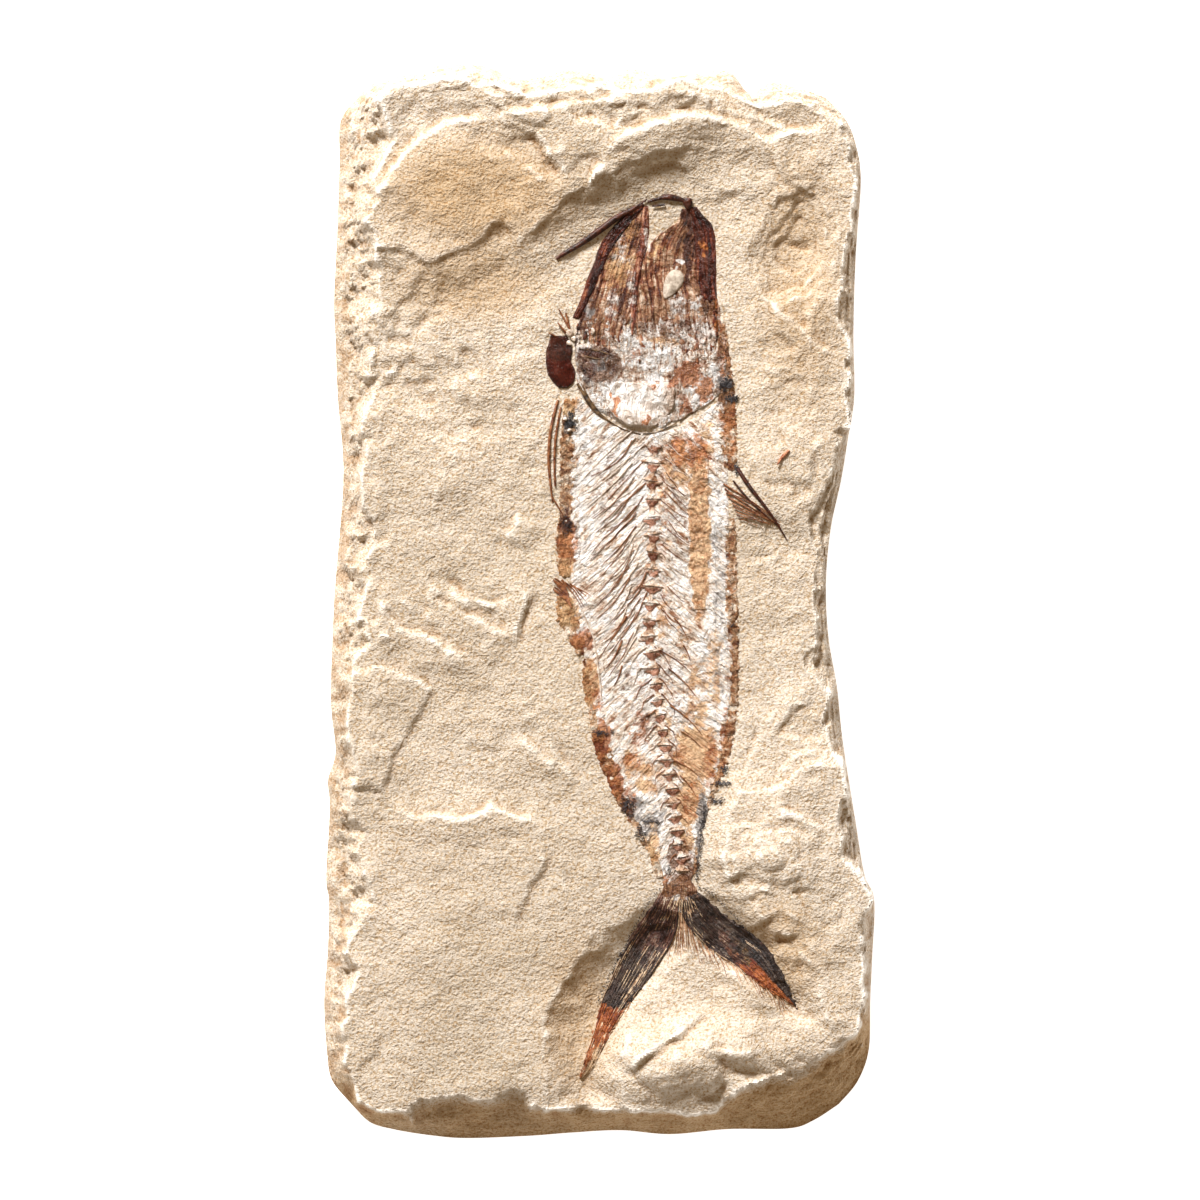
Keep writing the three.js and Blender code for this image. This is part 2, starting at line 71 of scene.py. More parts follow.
def noise(x, y, size, seed=0):
    """Smooth random heights, about -1 to 1, with bumps one size apart."""
    x, y = x / size + 37.3 * seed, y / size + 91.7 * seed
    column, row = np.floor(x).astype(int), np.floor(y).astype(int)
    fx, fy = x - column, y - row
    blend_x, blend_y = (t * t * t * (t * (t * 6 - 15) + 10) for t in (fx, fy))

    def corner(i, j):
        angle = SLOPES[(column + i) & 255, (row + j) & 255]
        return np.cos(angle) * (fx - i) + np.sin(angle) * (fy - j)

    low = corner(0, 0) * (1 - blend_x) + corner(1, 0) * blend_x
    high = corner(0, 1) * (1 - blend_x) + corner(1, 1) * blend_x
    return 1.5 * (low * (1 - blend_y) + high * blend_y)


def rough(x, y, size, octaves=4, seed=0):
    """Noise at several sizes, each half as large and half as high as the last."""
    return sum(noise(x, y, size / 2**k, seed + k) / 2**k for k in range(octaves))


def scallops(x, y, size, seed=0):
    """Shallow bowls with sharp ridges between them, as a fracture leaves: 0 in a bowl, about 1 on a ridge."""
    jitter = np.random.default_rng(seed).uniform(0.1, 0.9, (64, 64, 2))
    x, y = x / size, y / size
    column, row = np.floor(x).astype(int), np.floor(y).astype(int)
    nearest = np.full(np.shape(x), 9.0)
    for i in (-1, 0, 1):
        for j in (-1, 0, 1):
            spot = jitter[(column + i) & 63, (row + j) & 63]
            reach = (column + i + spot[..., 0] - x) ** 2 + (row + j + spot[..., 1] - y) ** 2
            nearest = np.minimum(nearest, reach)
    return np.minimum(nearest, 1.0)


def smooth(t):
    t = np.clip(t, 0.0, 1.0)
    return t * t * (3 - 2 * t)


print("noise spans", round(float(noise(*np.mgrid[0:40, 0:40] * 0.37, 1.0).min()), 2), "to 1")

# %% [markdown]
# The outline is four broken sides. Each is a short list of points where the real edge turns, joined by a
# smooth curve. Lines of points also describe the small steps in the stone's face, so the same few functions
# measure how far a point lies from a line, and on which side of it.

# %% Lines of points
def curve_through(points, count):
    """Points evenly spaced along a smooth curve through the given ones."""
    points = np.array(points, float)
    padded = np.vstack([points[:1], points, points[-1:]])
    steps = np.linspace(0, len(points) - 1, 24 * len(points))
    k = np.minimum(steps.astype(int), len(points) - 2)
    t = (steps - k)[:, None]
    a, b, c, d = (padded[k + n] for n in range(4))
    curve = 0.5 * (2 * b + (c - a) * t + (2 * a - 5 * b + 4 * c - d) * t**2 + (3 * b - a - 3 * c + d) * t**3)
    along = np.concatenate([[0], np.cumsum(np.linalg.norm(np.diff(curve, axis=0), axis=1))])
    wanted = np.linspace(0, along[-1], count)
    return np.stack([np.interp(wanted, along, curve[:, axis]) for axis in range(curve.shape[1])], axis=1)


def line_distance(x, y, line, closed=False):
    """Distance to a line of points, the side (+1 left, -1 right) and how far along it, 0 to 1."""
    line = np.array(line, float)
    ends = np.roll(line, -1, axis=0) if closed else line[1:]
    starts = line if closed else line[:-1]
    lengths = np.hypot(*(ends - starts).T)
    passed = np.concatenate([[0], np.cumsum(lengths)])
    best, side, along = np.full(x.shape, 1e9), np.ones(x.shape), np.zeros(x.shape)
    for (ax, ay), (bx, by), length, before in zip(starts, ends, lengths, passed):
        dx, dy = (bx - ax) / length, (by - ay) / length
        t = np.clip((x - ax) * dx + (y - ay) * dy, 0, length)
        reach = np.hypot(x - ax - t * dx, y - ay - t * dy)
        closer = reach < best
        best = np.where(closer, reach, best)
        side = np.where(closer, np.sign(dx * (y - ay) - dy * (x - ax)), side)
        along = np.where(closer, (before + t) / passed[-1], along)
    return best, side, along


def depth_inside(x, y, outline):
    """How far inside a closed outline a point lies, negative outside it."""
    outline = np.array(outline, float)
    inside = np.zeros(x.shape, bool)
    for (ax, ay), (bx, by) in zip(outline, np.roll(outline, -1, axis=0)):
        if ay != by:
            crosses = (ay > y) != (by > y)
            inside ^= crosses & (x < ax + (y - ay) / (by - ay) * (bx - ax))
    distance = line_distance(x, y, outline, closed=True)[0]
    return np.where(inside, distance, -distance)


# %% [markdown]
# ## The stone
# Limestone of this kind is laid down in thin, even beds. The quarry splits it along one of them, and chips
# the slab's border off with a hammer, so the middle is a gently uneven plane with steps where it jumps from
# one bed to the next, and the border is a chipped bevel that shows the beds' edges as fine lines.

# %% The four sides, the rim and the layers
LEFT_SIDE = [
    (-69, -140.5), (-74.5, -134), (-76, -126), (-76.8, -112), (-75.8, -98), (-75.4, -84), (-76.2, -77),
    (-75.2, -58), (-75.7, -50), (-73.6, -42), (-74.9, -28), (-74.3, -6), (-73.6, 6), (-71.8, 27), (-71.5, 40),
    (-73, 57), (-73.6, 73), (-74, 84), (-73.2, 101), (-72.5, 122), (-72.2, 134), (-67.5, 140.5),
]
RIGHT_SIDE = [
    (67, -140.5), (72.3, -134), (75.4, -125), (75.7, -111), (76.2, -100), (76.8, -83.5), (74, -76),
    (71.5, -61),
    (68, -39), (66.4, -24), (64, -10), (63.3, 5), (64.6, 20), (67.6, 34), (69.4, 45), (71.2, 57), (71, 75),
    (71.6, 96), (73, 118), (71.2, 129), (68, 135.5), (63, 140.5),
]
FOOT_SIDE = [
    (-69, -140.5), (-64, -145.5), (-57, -147.6), (-47, -149.2), (-37, -150), (-20, -149.4), (-8, -148.5),
    (6, -147.8), (20, -148.9), (36, -147.5), (53, -147.3), (60, -145), (67, -140.5),
]
HEAD_SIDE = [
    (-67.5, 140.5), (-62, 145.4), (-53, 148), (-41.5, 150), (-31, 149.2), (-24, 146), (-17, 146.2),
    (-8, 148.4),
    (3, 146.4), (9, 148.6), (19, 146.5), (28, 147.6), (36.5, 147.8), (42, 142), (48, 144.6), (56, 143),
    (63, 140.5),
]
RIM = [
    (-62, 140), (-58, 127), (-65, 109), (-62.5, 97), (-63.5, 75), (-63, 50), (-64, 30), (-64.5, 5),
    (-68, -18),
    (-71, -37.5), (-66.5, -48), (-70, -56), (-65.5, -66), (-64, -80), (-69.5, -104), (-71.5, -128),
    (-66, -141),
    (-54.5, -143), (-51, -139.5), (-33, -137.5), (-20, -138), (-12.5, -141.5), (15, -141.5), (30.5, -143.5),
    (41.5, -136), (53, -130), (66, -126), (73, -118), (73.5, -84), (66, -45), (62, -25), (58.5, -17.5),
    (61, -5),
    (59, 14.5), (61.5, 30.5), (67, 43), (69, 57), (67.5, 66), (68.5, 100), (71, 118), (68.5, 131), (60, 138),
    (44, 139), (36, 143), (10, 143.5), (-20, 141.5), (-40, 145), (-53, 143.5),
]
LAYERS = {  # layers above the split: rise of the crisp edge, rise and width of the apron, fade in x, outline
    "above the head": (0.7, 3.4, 15, (16, 44), [
        (-85, 97), (-57, 98), (-52, 97), (-48, 93.5), (-38, 97.5), (-32, 101), (-29.5, 105), (-26, 105),
        (-21.5, 99.5),
        (-16, 105), (-8, 113), (-3, 115.5), (1, 118.5), (10, 122.5), (17, 125), (24, 126), (34, 125),
        (62, 127),
        (62, 160), (-85, 160),
    ]),
    "lower left": (0.5, 0.3, 5, (90, 91), [
        (-85, -53), (-59, -53.5), (-53, -59), (-36, -60), (-30, -56.5), (-17, -61.5), (-12, -68), (-8, -80),
        (-1, -93), (-7, -103), (-13.5, -113), (-15, -125), (-12, -155), (-85, -155),
    ]),
    "leaf": (0.9, 0.4, 3, (90, 91), [
        (-80, -22), (-60, -17.5), (-46, -24), (-50.5, -32.5), (-57.5, -43.5), (-60, -53), (-80, -50),
    ]),
    "right bank": (0.4, 3.2, 11, (90, 91), [
        (38, -53), (48, -52), (58, -46), (85, -42), (85, -122), (66, -122), (62, -112), (58, -101), (51, -93),
        (44, -87.5), (37, -82), (34, -72), (35, -62),
    ]),
}
SWELLS = [  # centre, half sizes, height, turn in degrees
    (18, -104, 44, 30, -3.0, 0), (24, -127, 27, 14, 5.5, 12), (57, 97, 15, 24, -2.6, -25),
    (-25, -140, 30, 6, -0.9, 0), (-52, 20, 26, 34, 0.9, 10), (-40, -95, 24, 30, 0.8, 0),
    (-41, 116, 22, 17, 1.3, 25), (2, 127, 30, 7, 1.2, 8), (-3, 137, 9, 5, -1.8, 20), (8, 96, 46, 26, -1.6, 0),
    (52, -74, 22, 13, 1.6, 0),
]
HOLLOWS = [  # sunken ground with a sharp lip: depth, width of its wall, outline
    (4.2, 12, [
        (3, -91), (-3, -97.5), (-7, -102.5), (-12, -110), (-15.5, -118), (-14, -125), (-11, -140), (-6, -146),
        (7, -142), (6, -128), (12, -112), (24, -98), (24, -88), (14, -84)]),
    (2.2, 8, [
        (29, -79), (36, -83.5), (45, -89), (51, -94.5), (57, -101.5), (59, -110), (63, -119), (54, -119),
        (42, -108),
        (28, -97)]),
    (1.8, 9, [(41.5, 89), (40.5, 96), (42, 102), (46, 108), (51, 113), (56, 114.5), (62.5, 111.5),
        (64, 100), (60, 84), (50, 82)]),
    (1.6, 4, [(-7, 135.5), (8, 138.8), (4, 131.5), (0, 132)]),
]
print(len(LAYERS), "layers,", len(SWELLS), "swells and", len(HOLLOWS), "hollows")

# %% [markdown]
# The small steps are where the split jumped by a fraction of a millimetre to two or three. Each is a line
# with the higher side on its left: how high, how wide its slope is, how far the raised and the sunken ground
# reach before they come back to level, and the line itself. Its height dies away towards both ends.

# %% The steps
STEPS = [
    (2.2, 2.4, 12, 9, [(-28, 135), (-38, 134.5), (-45, 132.5), (-50, 129.5), (-55, 124.5), (-60, 117.5),
        (-66, 108)]),
    (1.5, 2.2, 6, 8, [(12, 142), (8, 141), (-15, 137.5), (-32, 135.5)]),
    (2.0, 2.4, 7, 7, [(66, 138), (60, 131.5), (53, 131.5), (48, 128.5), (41.5, 132), (30, 136),
        (21, 135.5), (10.5, 132), (-1, 127)]),
    (1.6, 3.0, 5, 6, [(58, 130.5), (50, 133), (40, 136.5), (31, 141.5), (18, 144)]),
    (1.3, 1.4, 5, 5, [(-19.5, 131.5), (-15, 124.5), (-9, 117.5)]),
    (1.0, 1.4, 5, 5, [(2, 124), (-2, 119), (-4, 113)]),
    (1.2, 1.4, 8, 6, [(-62, 143), (-60, 135), (-57, 125)]),
    (0.8, 3.6, 16, 8, [(-58.5, 73), (-56.5, 81.5), (-52, 86.5), (-48, 93.5)]),
    (0.1, 2.4, 10, 6, [(-50.5, 86), (-38.5, 89), (-33, 89.5), (-27.5, 94), (-24, 100.5)]),
    (0.8, 1.4, 6, 4, [(9, 118.5), (17, 121.5), (20, 122), (26.5, 119)]),
    (0.4, 1.6, 5, 4, [(29.5, 113), (33, 110.5), (35, 113.5), (39, 114), (41, 112.5)]),
    (0.6, 1.6, 10, 4, [(49, 128), (49, 121), (52, 117), (62.5, 112)]),
    (0.9, 1.4, 7, 6, [(68, 68), (62.5, 71), (56, 76.5), (52, 80), (42.5, 89)]),
    (0.8, 1.4, 8, 5, [(-56.5, 66.5), (-68.5, 53.5)]),
    (0.7, 1.4, 6, 5, [(-22, 24.5), (-26.5, 17.5)]),
    (0.7, 1.4, 7, 5, [(-56.5, 17), (-62.5, 15.5), (-67.5, 10)]),
    (0.9, 1.3, 8, 6, [(-22.5, -10), (-38.5, -2.5), (-48, 1.5)]),
    (0.7, 1.3, 5, 5, [(-22, 1), (-30, -0.5), (-37.5, 2), (-46, 7)]),
    (1.0, 1.4, 8, 6, [(-32, -17.5), (-40.5, -13.5), (-48, -9), (-55, -7.5), (-62, -1)]),
    (1.2, 1.6, 7, 5, [(-22.5, -13.5), (-21, -3), (-18, 4)]),
    (0.5, 1.0, 6, 6, [(-17, -61.5), (-30, -56.5), (-36, -60), (-50, -60), (-60, -56.5)]),
    (0.8, 1.4, 6, 5, [(-10.5, -48.5), (-13.5, -44.5), (-19.5, -39.5), (-23.5, -36)]),
    (0.8, 1.4, 5, 5, [(-5.5, -51), (-13.5, -38.5)]),
    (0.2, 1.6, 5, 4, [(-38.5, -38.5), (-31, -41.5), (-28, -42), (-24.5, -39)]),
    (0.6, 1.0, 10, 8, [(-24, -92), (-21, -84), (-15.5, -74), (-13.5, -66.5)]),
    (0.3, 1.8, 6, 5, [(-68, -132), (-63.5, -127), (-59, -119.5)]),
    (1.1, 1.6, 7, 5, [(64.5, -63.5), (56, -60), (49.5, -56.5)]),
    (0.6, 1.2, 6, 4, [(49.5, -37.5), (54, -30), (60.5, -28)]),
    (0.5, 1.8, 3.4, 2.4, [(35, -78), (40, -76), (47, -77.5)]),
    (0.4, 1.8, 3.4, 2.4, [(39, -84.5), (45, -81), (53, -83.5)]),
    (0.5, 1.8, 3.4, 2.4, [(43, -90.5), (50, -87), (58, -91)]),
    (0.4, 1.8, 3.4, 2.4, [(48, -96), (54, -93), (61, -98.5)]),
    (0.3, 1.8, 3.4, 2.4, [(53, -102), (58, -100), (64, -107)]),
    (1.8, 2.0, 9, 6, [(8, -132), (18.6, -123.4), (32, -114)]),
    (0.9, 1.6, 5, 4, [(43.5, -123.5), (39.5, -125.5), (30.5, -124)]),
    (1.0, 1.6, 5, 4, [(26.5, -140), (32, -136), (36.5, -134)]),
]


def step_height(x, y, rise, width, high_reach, low_reach, line):
    distance, side, along = line_distance(x, y, line)
    across = distance * side
    fade = smooth(along / 0.2) * smooth((1 - along) / 0.2)
    high = smooth(across / width + 0.5)
    raised = high * np.exp(-((np.maximum(across, 0) / high_reach) ** 2))
    sunk = (1 - high) * np.exp(-((np.minimum(across, 0) / low_reach) ** 2))
    return (rise + 0.35) * fade * (0.6 * raised - 0.4 * sunk)


def swell_height(x, y, cx, cy, across, along, height, turn):
    angle = math.radians(turn)
    dx = (x - cx) * math.cos(angle) + (y - cy) * math.sin(angle)
    dy = (y - cy) * math.cos(angle) - (x - cx) * math.sin(angle)
    return height * smooth(1 - np.hypot(dx / across, dy / along))


BED = 22.0  # height of the split face above the base, as in the frame


def face_height(x, y):
    """Height of the stone's split face in millimetres, before its grain and its chipped border."""
    wander_x = 0.7 * rough(x, y, 6, 4, seed=11)
    wander_y = 0.7 * rough(x, y, 6, 4, seed=12)
    wx, wy = x + wander_x, y + wander_y
    z = np.full(x.shape, BED)
    for crisp, apron, width, (whole, gone), outline in LAYERS.values():
        depth = depth_inside(wx, wy, outline)
        lip = crisp * (0.9 + 0.6 * noise(x, y, 14, 13)) * smooth(depth / 0.9 + 0.5)
        slope = apron * np.clip(1 + (depth - 0.5) / width, 0, 1) ** 1.6
        z += smooth((gone - x) / (gone - whole)) * (lip + slope)
    for sunk, wall, outline in HOLLOWS:
        z -= sunk * np.sin(math.pi / 2 * np.clip(depth_inside(wx, wy, outline) / wall, 0, 1))
    for step in STEPS:
        z += step_height(wx, wy, *step)
    for swell in SWELLS:
        z += swell_height(x, y, *swell)
    crumbly = 0.13 + 0.22 * smooth((y + 45) / 40)
    return z + 0.5 * rough(x, y, 30, 3, seed=3) + crumbly * rough(x, y, 8, 3, seed=4)


# %% [markdown]
# Hammer blows leave flat facets that meet in sharp edges, and thin beds break off as treads and risers. Both
# are heights added to the face, strongest where the border was chipped and on the mound beside the tail.

# %% Chips and thin beds
CHIPPED = [  # where hammer blows chipped the face: centre, half sizes, height of the chips
    (0, 141, 78, 15, 1.15), (56, 98, 22, 36, 0.9), (54, -112, 32, 62, 1.5), (25, -130, 36, 17, 2.1),
    (-66, 0, 10, 150, 0.8), (-5, 124, 40, 14, 0.9), (45, -68, 20, 18, 1.2), (-46, 62, 26, 50, 0.8),
    (52, 50, 17, 56, 0.75),
    (-46, -4, 28, 20, 0.9), (52, -40, 18, 18, 0.9), (-34, -66, 34, 14, 0.4),
]


def terraces(z, thickness):
    """Turns a slope into treads and risers, one for each bed."""
    beds = z / thickness
    return (np.floor(beds) + smooth(3.2 * (beds - np.floor(beds)) - 1.1)) * thickness


def facets(x, y, size, seed=0):
    """Flat faces at random tilts that meet in sharp edges: the highest of the planes nearby, about -1 to 1."""
    spots = np.random.default_rng(seed).uniform(0, 1, (64, 64, 4))
    x, y = x / size, y / size
    column, row = np.floor(x).astype(int), np.floor(y).astype(int)
    height = np.full(np.shape(x), -9.0)
    for i in (-1, 0, 1):
        for j in (-1, 0, 1):
            spot = spots[(column + i) & 63, (row + j) & 63]
            dx, dy = column + i + spot[..., 0] - x, row + j + spot[..., 1] - y
            tilt = 1.6 * (spot[..., 2] - 0.5) * dx + 1.6 * (spot[..., 3] - 0.5) * dy
            plane = tilt - 0.7 * (dx * dx + dy * dy)
            height = np.maximum(height, plane)
    return 2 * height + 0.6


def chip_height(x, y, z):
    """Scallops left by the hammer on the chipped ground, and the thin beds that a split leaves everywhere."""
    where = sum(h * smooth(1.5 * (1 - np.hypot((x - cx) / a, (y - cy) / b))) for cx, cy, a, b, h in CHIPPED)
    where += 0.38 * smooth(0.45 + 1.2 * rough(x, y, 38, 2, seed=48))
    wx, wy = x + 2.0 * rough(x, y, 15, 3, seed=41), y + 2.0 * rough(x, y, 15, 3, seed=42)
    chips = 1.15 * facets(wx / 1.8, wy, 13, seed=43) + 0.35 * facets(wy + 0.4 * wx, wx, 5, seed=44)
    mound = smooth((-95 - y) / 15)
    chips += mound * (0.75 * facets(wx + 0.5 * wy, wy, 10, seed=49) - 0.6 * chips)
    tilted = z + where * chips + 0.75 * rough(x, y, 34, 5, seed=46)
    flaky = 0.12 + 0.7 * smooth(where / 1.6) + 0.25 * smooth(rough(x, y, 45, 2, seed=47))
    flaky *= 1 - 0.75 * smooth((-70 - y) / 20)
    return where * chips + flaky * (terraces(tilted, 0.62 + 0.5 * smooth(where)) - tilted)


middle = face_height(np.array([12.0]), np.array([55.0]))
print("the split face under the gills:", round(float(middle[0]), 2), "mm")

# %% [markdown]
# Fossil pieces lie where the split face is, so its height is worked out once, on a fine square net, and
# read off between the net's knots.

# %% The ground, as a net of heights
NET = 0.6
net_x, net_y = np.arange(-78, 78 + NET, NET), np.arange(-151, 151 + NET, NET)
knots_x, knots_y = np.meshgrid(net_x, net_y)
net_height = face_height(knots_x, knots_y)
net_height += chip_height(knots_x, knots_y, net_height)
steepness = np.hypot(*np.gradient(net_height, NET))
net_height += 0.7 * smooth(steepness / 0.6) * (scallops(knots_x, knots_y, 4.5, seed=45) - 0.3)


def read_net(net, x, y):
    column = np.clip((x - net_x[0]) / NET, 0, len(net_x) - 1.001)
    row = np.clip((y - net_y[0]) / NET, 0, len(net_y) - 1.001)
    i, j = column.astype(int), row.astype(int)
    fx, fy = column - i, row - j
    low = net[j, i] * (1 - fx) + net[j, i + 1] * fx
    high = net[j + 1, i] * (1 - fx) + net[j + 1, i + 1] * fx
    return low * (1 - fy) + high * fy


def grain_height(x, y):
    """The sugary grain of the split face, a tenth or two of a millimetre high."""
    return 0.08 * rough(x, y, 2.7, 2, seed=31) + 0.08 * rough(x, y, 5.3, 2, seed=34)


def ground(x, y):
    return read_net(net_height, x, y) + grain_height(x, y)


print("net of", net_height.size, "knots, heights", round(net_height.min(), 1), "to", round(net_height.max(), 1))

# %% [markdown]
# The slab starts as a flat grid that is stretched to the outline: a Coons patch, which blends the four sides
# so that every border point lies on its side. The border edges are then extruded down in rows to make the
# broken sides, and the last row is filled to make the sawn base. Moving the points comes last, once the
# faces are all there.

# %% Shared modelling helpers
def start_clean():
    if bpy.context.object and bpy.context.object.mode != "OBJECT":
        bpy.ops.object.mode_set(mode="OBJECT")
    bpy.ops.object.select_all(action="DESELECT")


def get_points(piece):
    flat = np.empty(3 * len(piece.data.vertices))
    piece.data.vertices.foreach_get("co", flat)
    return flat.reshape(-1, 3)


def set_points(piece, points):
    piece.data.vertices.foreach_set("co", np.ascontiguousarray(points, dtype=float).ravel())
    piece.data.update()


def add_grid(name, columns, rows):
    """A flat grid one metre across, ready to be stretched: x and y of each point run from 0 to 1."""
    start_clean()
    bpy.ops.mesh.primitive_grid_add(x_subdivisions=columns, y_subdivisions=rows, size=1)
    piece = bpy.context.object
    piece.name = piece.data.name = name
    points = get_points(piece)
    points[:, :2] += 0.5
    set_points(piece, points)
    return piece


def select_border():
    """Opens the active piece for editing, with the edges of its open border selected."""
    bpy.ops.object.mode_set(mode="EDIT")
    bpy.ops.mesh.select_mode(type="EDGE")
    bpy.ops.mesh.select_all(action="DESELECT")
    bpy.ops.mesh.select_non_manifold(extend=False, use_wire=False, use_boundary=True, use_multi_face=False,
                                     use_non_contiguous=False, use_verts=False)


def add_attribute(piece, name, values):
    layer = piece.data.attributes.new(name, "FLOAT", "POINT")
    layer.data.foreach_set("value", np.ascontiguousarray(values, dtype=float))


# %% The slab's faces
COLUMNS, ROWS, SIDE_ROWS = 200, 392, 13
stone = add_grid("limestone_slab", COLUMNS, ROWS)
select_border()
for row in range(SIDE_ROWS):
    bpy.ops.mesh.extrude_edges_move(TRANSFORM_OT_translate={"value": (0, 0, -1)})
bpy.ops.mesh.edge_face_add()
bpy.ops.mesh.mark_sharp()
bpy.ops.object.mode_set(mode="OBJECT")
print("slab:", len(stone.data.vertices), "points,", len(stone.data.polygons), "faces")

# %% Stretch the grid to the outline
FINE = 1200  # points along each side


def closer_at_ends(t):
    return t - 0.03 * np.sin(2 * math.pi * t)


def outline_place(u, v):
    """Where a point of the unit square lies on the slab, in millimetres: a Coons patch of the four sides."""
    table = np.linspace(0, 1, FINE)
    sides = [curve_through(side, FINE) for side in (LEFT_SIDE, RIGHT_SIDE, FOOT_SIDE, HEAD_SIDE)]
    left, right = (np.stack([np.interp(v, table, s[:, k]) for k in (0, 1)], axis=1) for s in sides[:2])
    foot, head = (np.stack([np.interp(u, table, s[:, k]) for k in (0, 1)], axis=1) for s in sides[2:])
    a, b, c, d = (np.array(p, float) for p in (LEFT_SIDE[0], RIGHT_SIDE[0], LEFT_SIDE[-1], RIGHT_SIDE[-1]))
    u, v = u[:, None], v[:, None]
    corners = (1 - v) * ((1 - u) * a + u * b) + v * ((1 - u) * c + u * d)
    return (1 - u) * left + u * right + (1 - v) * foot + v * head - corners


square = get_points(stone)
side_row = np.rint(-square[:, 2]).astype(int)
place = outline_place(closer_at_ends(square[:, 0]), closer_at_ends(square[:, 1]))
edge_u, edge_v = (np.concatenate(parts) for parts in (
    (np.linspace(0, 1, 90), np.ones(170), np.linspace(1, 0, 90), np.zeros(170)),
    (np.zeros(90), np.linspace(0, 1, 170), np.ones(90), np.linspace(1, 0, 170))))
edge_line = outline_place(edge_u, edge_v)
edge_line = edge_line[np.hypot(*(edge_line - np.roll(edge_line, 1, axis=0)).T) > 0.01]
print("outline reaches", np.round(edge_line.min(axis=0), 1), "to", np.round(edge_line.max(axis=0), 1))

# %% [markdown]
# Between the outline and the rim the face falls away as a chipped bevel. Each bed's edge stands out or back
# by its own amount, which gives the fine level lines of layered stone. Iron water has yellowed some of the
# ground, with painted shade in its hollows and on its foot; what stands out is painted white as a highlight
# and what lies low is painted brown as shade, so both are worked out here and kept as attributes.

# %% Helpers for the border
def bed_edges(along, height, seed=0):
    """How far each thin bed stands out, by the distance along the border and the height."""
    thick = noise(along / 26, height / 2.1, 1, seed + 1)
    thin = noise(along / 11, height / 0.85, 1, seed + 2)
    return 0.75 * thick + 0.45 * thin


def near(x, y, cx, cy, across, along, reach=1.3):
    """A soft spot: 1 round its middle, 0 past its edge."""
    return smooth(reach - np.hypot((x - cx) / across, (y - cy) / along))


def iron_stain_and_shade(x, y, share, down):
    """Yellow tint: iron stain over the head, a patch on the right, and painted shade in the hollows by the
    tail, in the recess under the step above the head and on the broken foot; faint everywhere, stronger down
    the sides.
    """
    # painted shade: the broken foot, which faces away from the lamp, the hollows by the tail and the recess
    # under the step above the head are tinted as shade
    foot = smooth((-120 - y + 0.12 * (x + 20)) / 12) * smooth((0.98 - share) / 0.25) * (1 - smooth(2 * down))
    plateau = near(x, y, -34, 114, 30, 18)
    bowl = near(x, y, -6, -116, 12, 24) + near(x, y, 50, -98, 13, 16)
    right = near(x, y, 56, 88, 15, 46, 1.2) + 1.2 * near(x, y, -36, 88, 24, 11)
    on_face = (0.7 * plateau + 0.5 * bowl + 0.45 * right) * (down == 0)
    return np.clip(on_face + 0.9 * foot + 0.1 + 0.2 * smooth(2 * down), 0, 1)


def stand_out(heights, reach):
    """How far each point of a grid of heights stands above its surroundings, reach points each way."""
    span = 2 * reach + 1
    total = np.pad(np.pad(heights, reach, mode="edge"), ((1, 0), (1, 0))).cumsum(axis=0).cumsum(axis=1)
    around = total[span:, span:] - total[:-span, span:] - total[span:, :-span] + total[:-span, :-span]
    return heights - around / span**2


# %% The chipped bevel
WAIST, WAIST_WAVE, WAIST_RISE = 10.0, 1.6, 7.0  # where the bevel meets the side, and how far that line wanders
BORDER_LENGTH = 880  # round the outline
FLAT_SHARE = 0.999  # past this share of the way from outline to rim, the point is on the face

x, y = place.T
to_side, _, along = line_distance(x, y, edge_line, closed=True)
border = along * BORDER_LENGTH
warp_x, warp_y = 3.4 * rough(x, y, 13, 4, seed=21), 2.4 * rough(x, y, 11, 4, seed=22)
to_rim = np.maximum(0, -depth_inside(x + warp_x, y + warp_y, RIM))
share = to_side / (to_side + to_rim + 1e-6)
bevel = np.clip(4 * share * (1 - share), 0, 1) * (share < FLAT_SHARE)
chips = 0.9 * facets(border / 3.2, to_side + warp_x, 7, seed=5)
chips += 0.35 * facets(border / 2.4, to_side + warp_y, 3.6, seed=6)
calm = 1 - 0.75 * smooth((-124 - y) / 8)  # the foot broke cleanly
climb = share**1.3 + calm * bevel * (0.2 * (1.2 - 0.8 * share) * chips + 0.12 * rough(x, y, 6, 3, 23))
climb = np.clip(climb, 0.7 * share**1.3, 1)
waist = WAIST + WAIST_WAVE * np.sin(x / 9 + y / 13) * np.cos(y / 31)
waist += WAIST_RISE * smooth((x - 40) / 20) * smooth((y + 122) / 14)
z = waist + (read_net(net_height, x, y) - waist) * climb
tilted = z + 0.8 * rough(x, y, 40, 2, seed=24)
z += calm * bevel * 0.9 * (terraces(tilted, 2.1) - tilted)
z += calm * bevel * 0.4 * rough(x / 1.7, y, 2.8, 3, seed=61)
print("bevel, widest", round(float((to_side + to_rim)[bevel > 0.9].max()), 1), "mm")

# %% The broken sides and the flat base
BASE_INSET = 2.6  # the sides draw in towards the base

down = side_row / SIDE_ROWS
z = np.where(side_row > 0, waist * (1 - down), z)
spot = np.searchsorted(np.linspace(0, 1, len(edge_line)), along)
run = edge_line[(spot + 2) % len(edge_line)] - edge_line[(spot - 2) % len(edge_line)]
outward = np.stack([run[:, 1], -run[:, 0]], axis=1) / np.hypot(*run.T)[:, None]
strata = bed_edges(border, z)
side_shift = -BASE_INSET * down**2.5 + (strata - 0.8) * np.minimum(1, 3 * down) * (1 - down**6)
shift = np.where(side_row > 0, side_shift, 0.3 * strata * bevel)
x, y = x + outward[:, 0] * shift, y + outward[:, 1] * shift
z[side_row == SIDE_ROWS] = 0.0

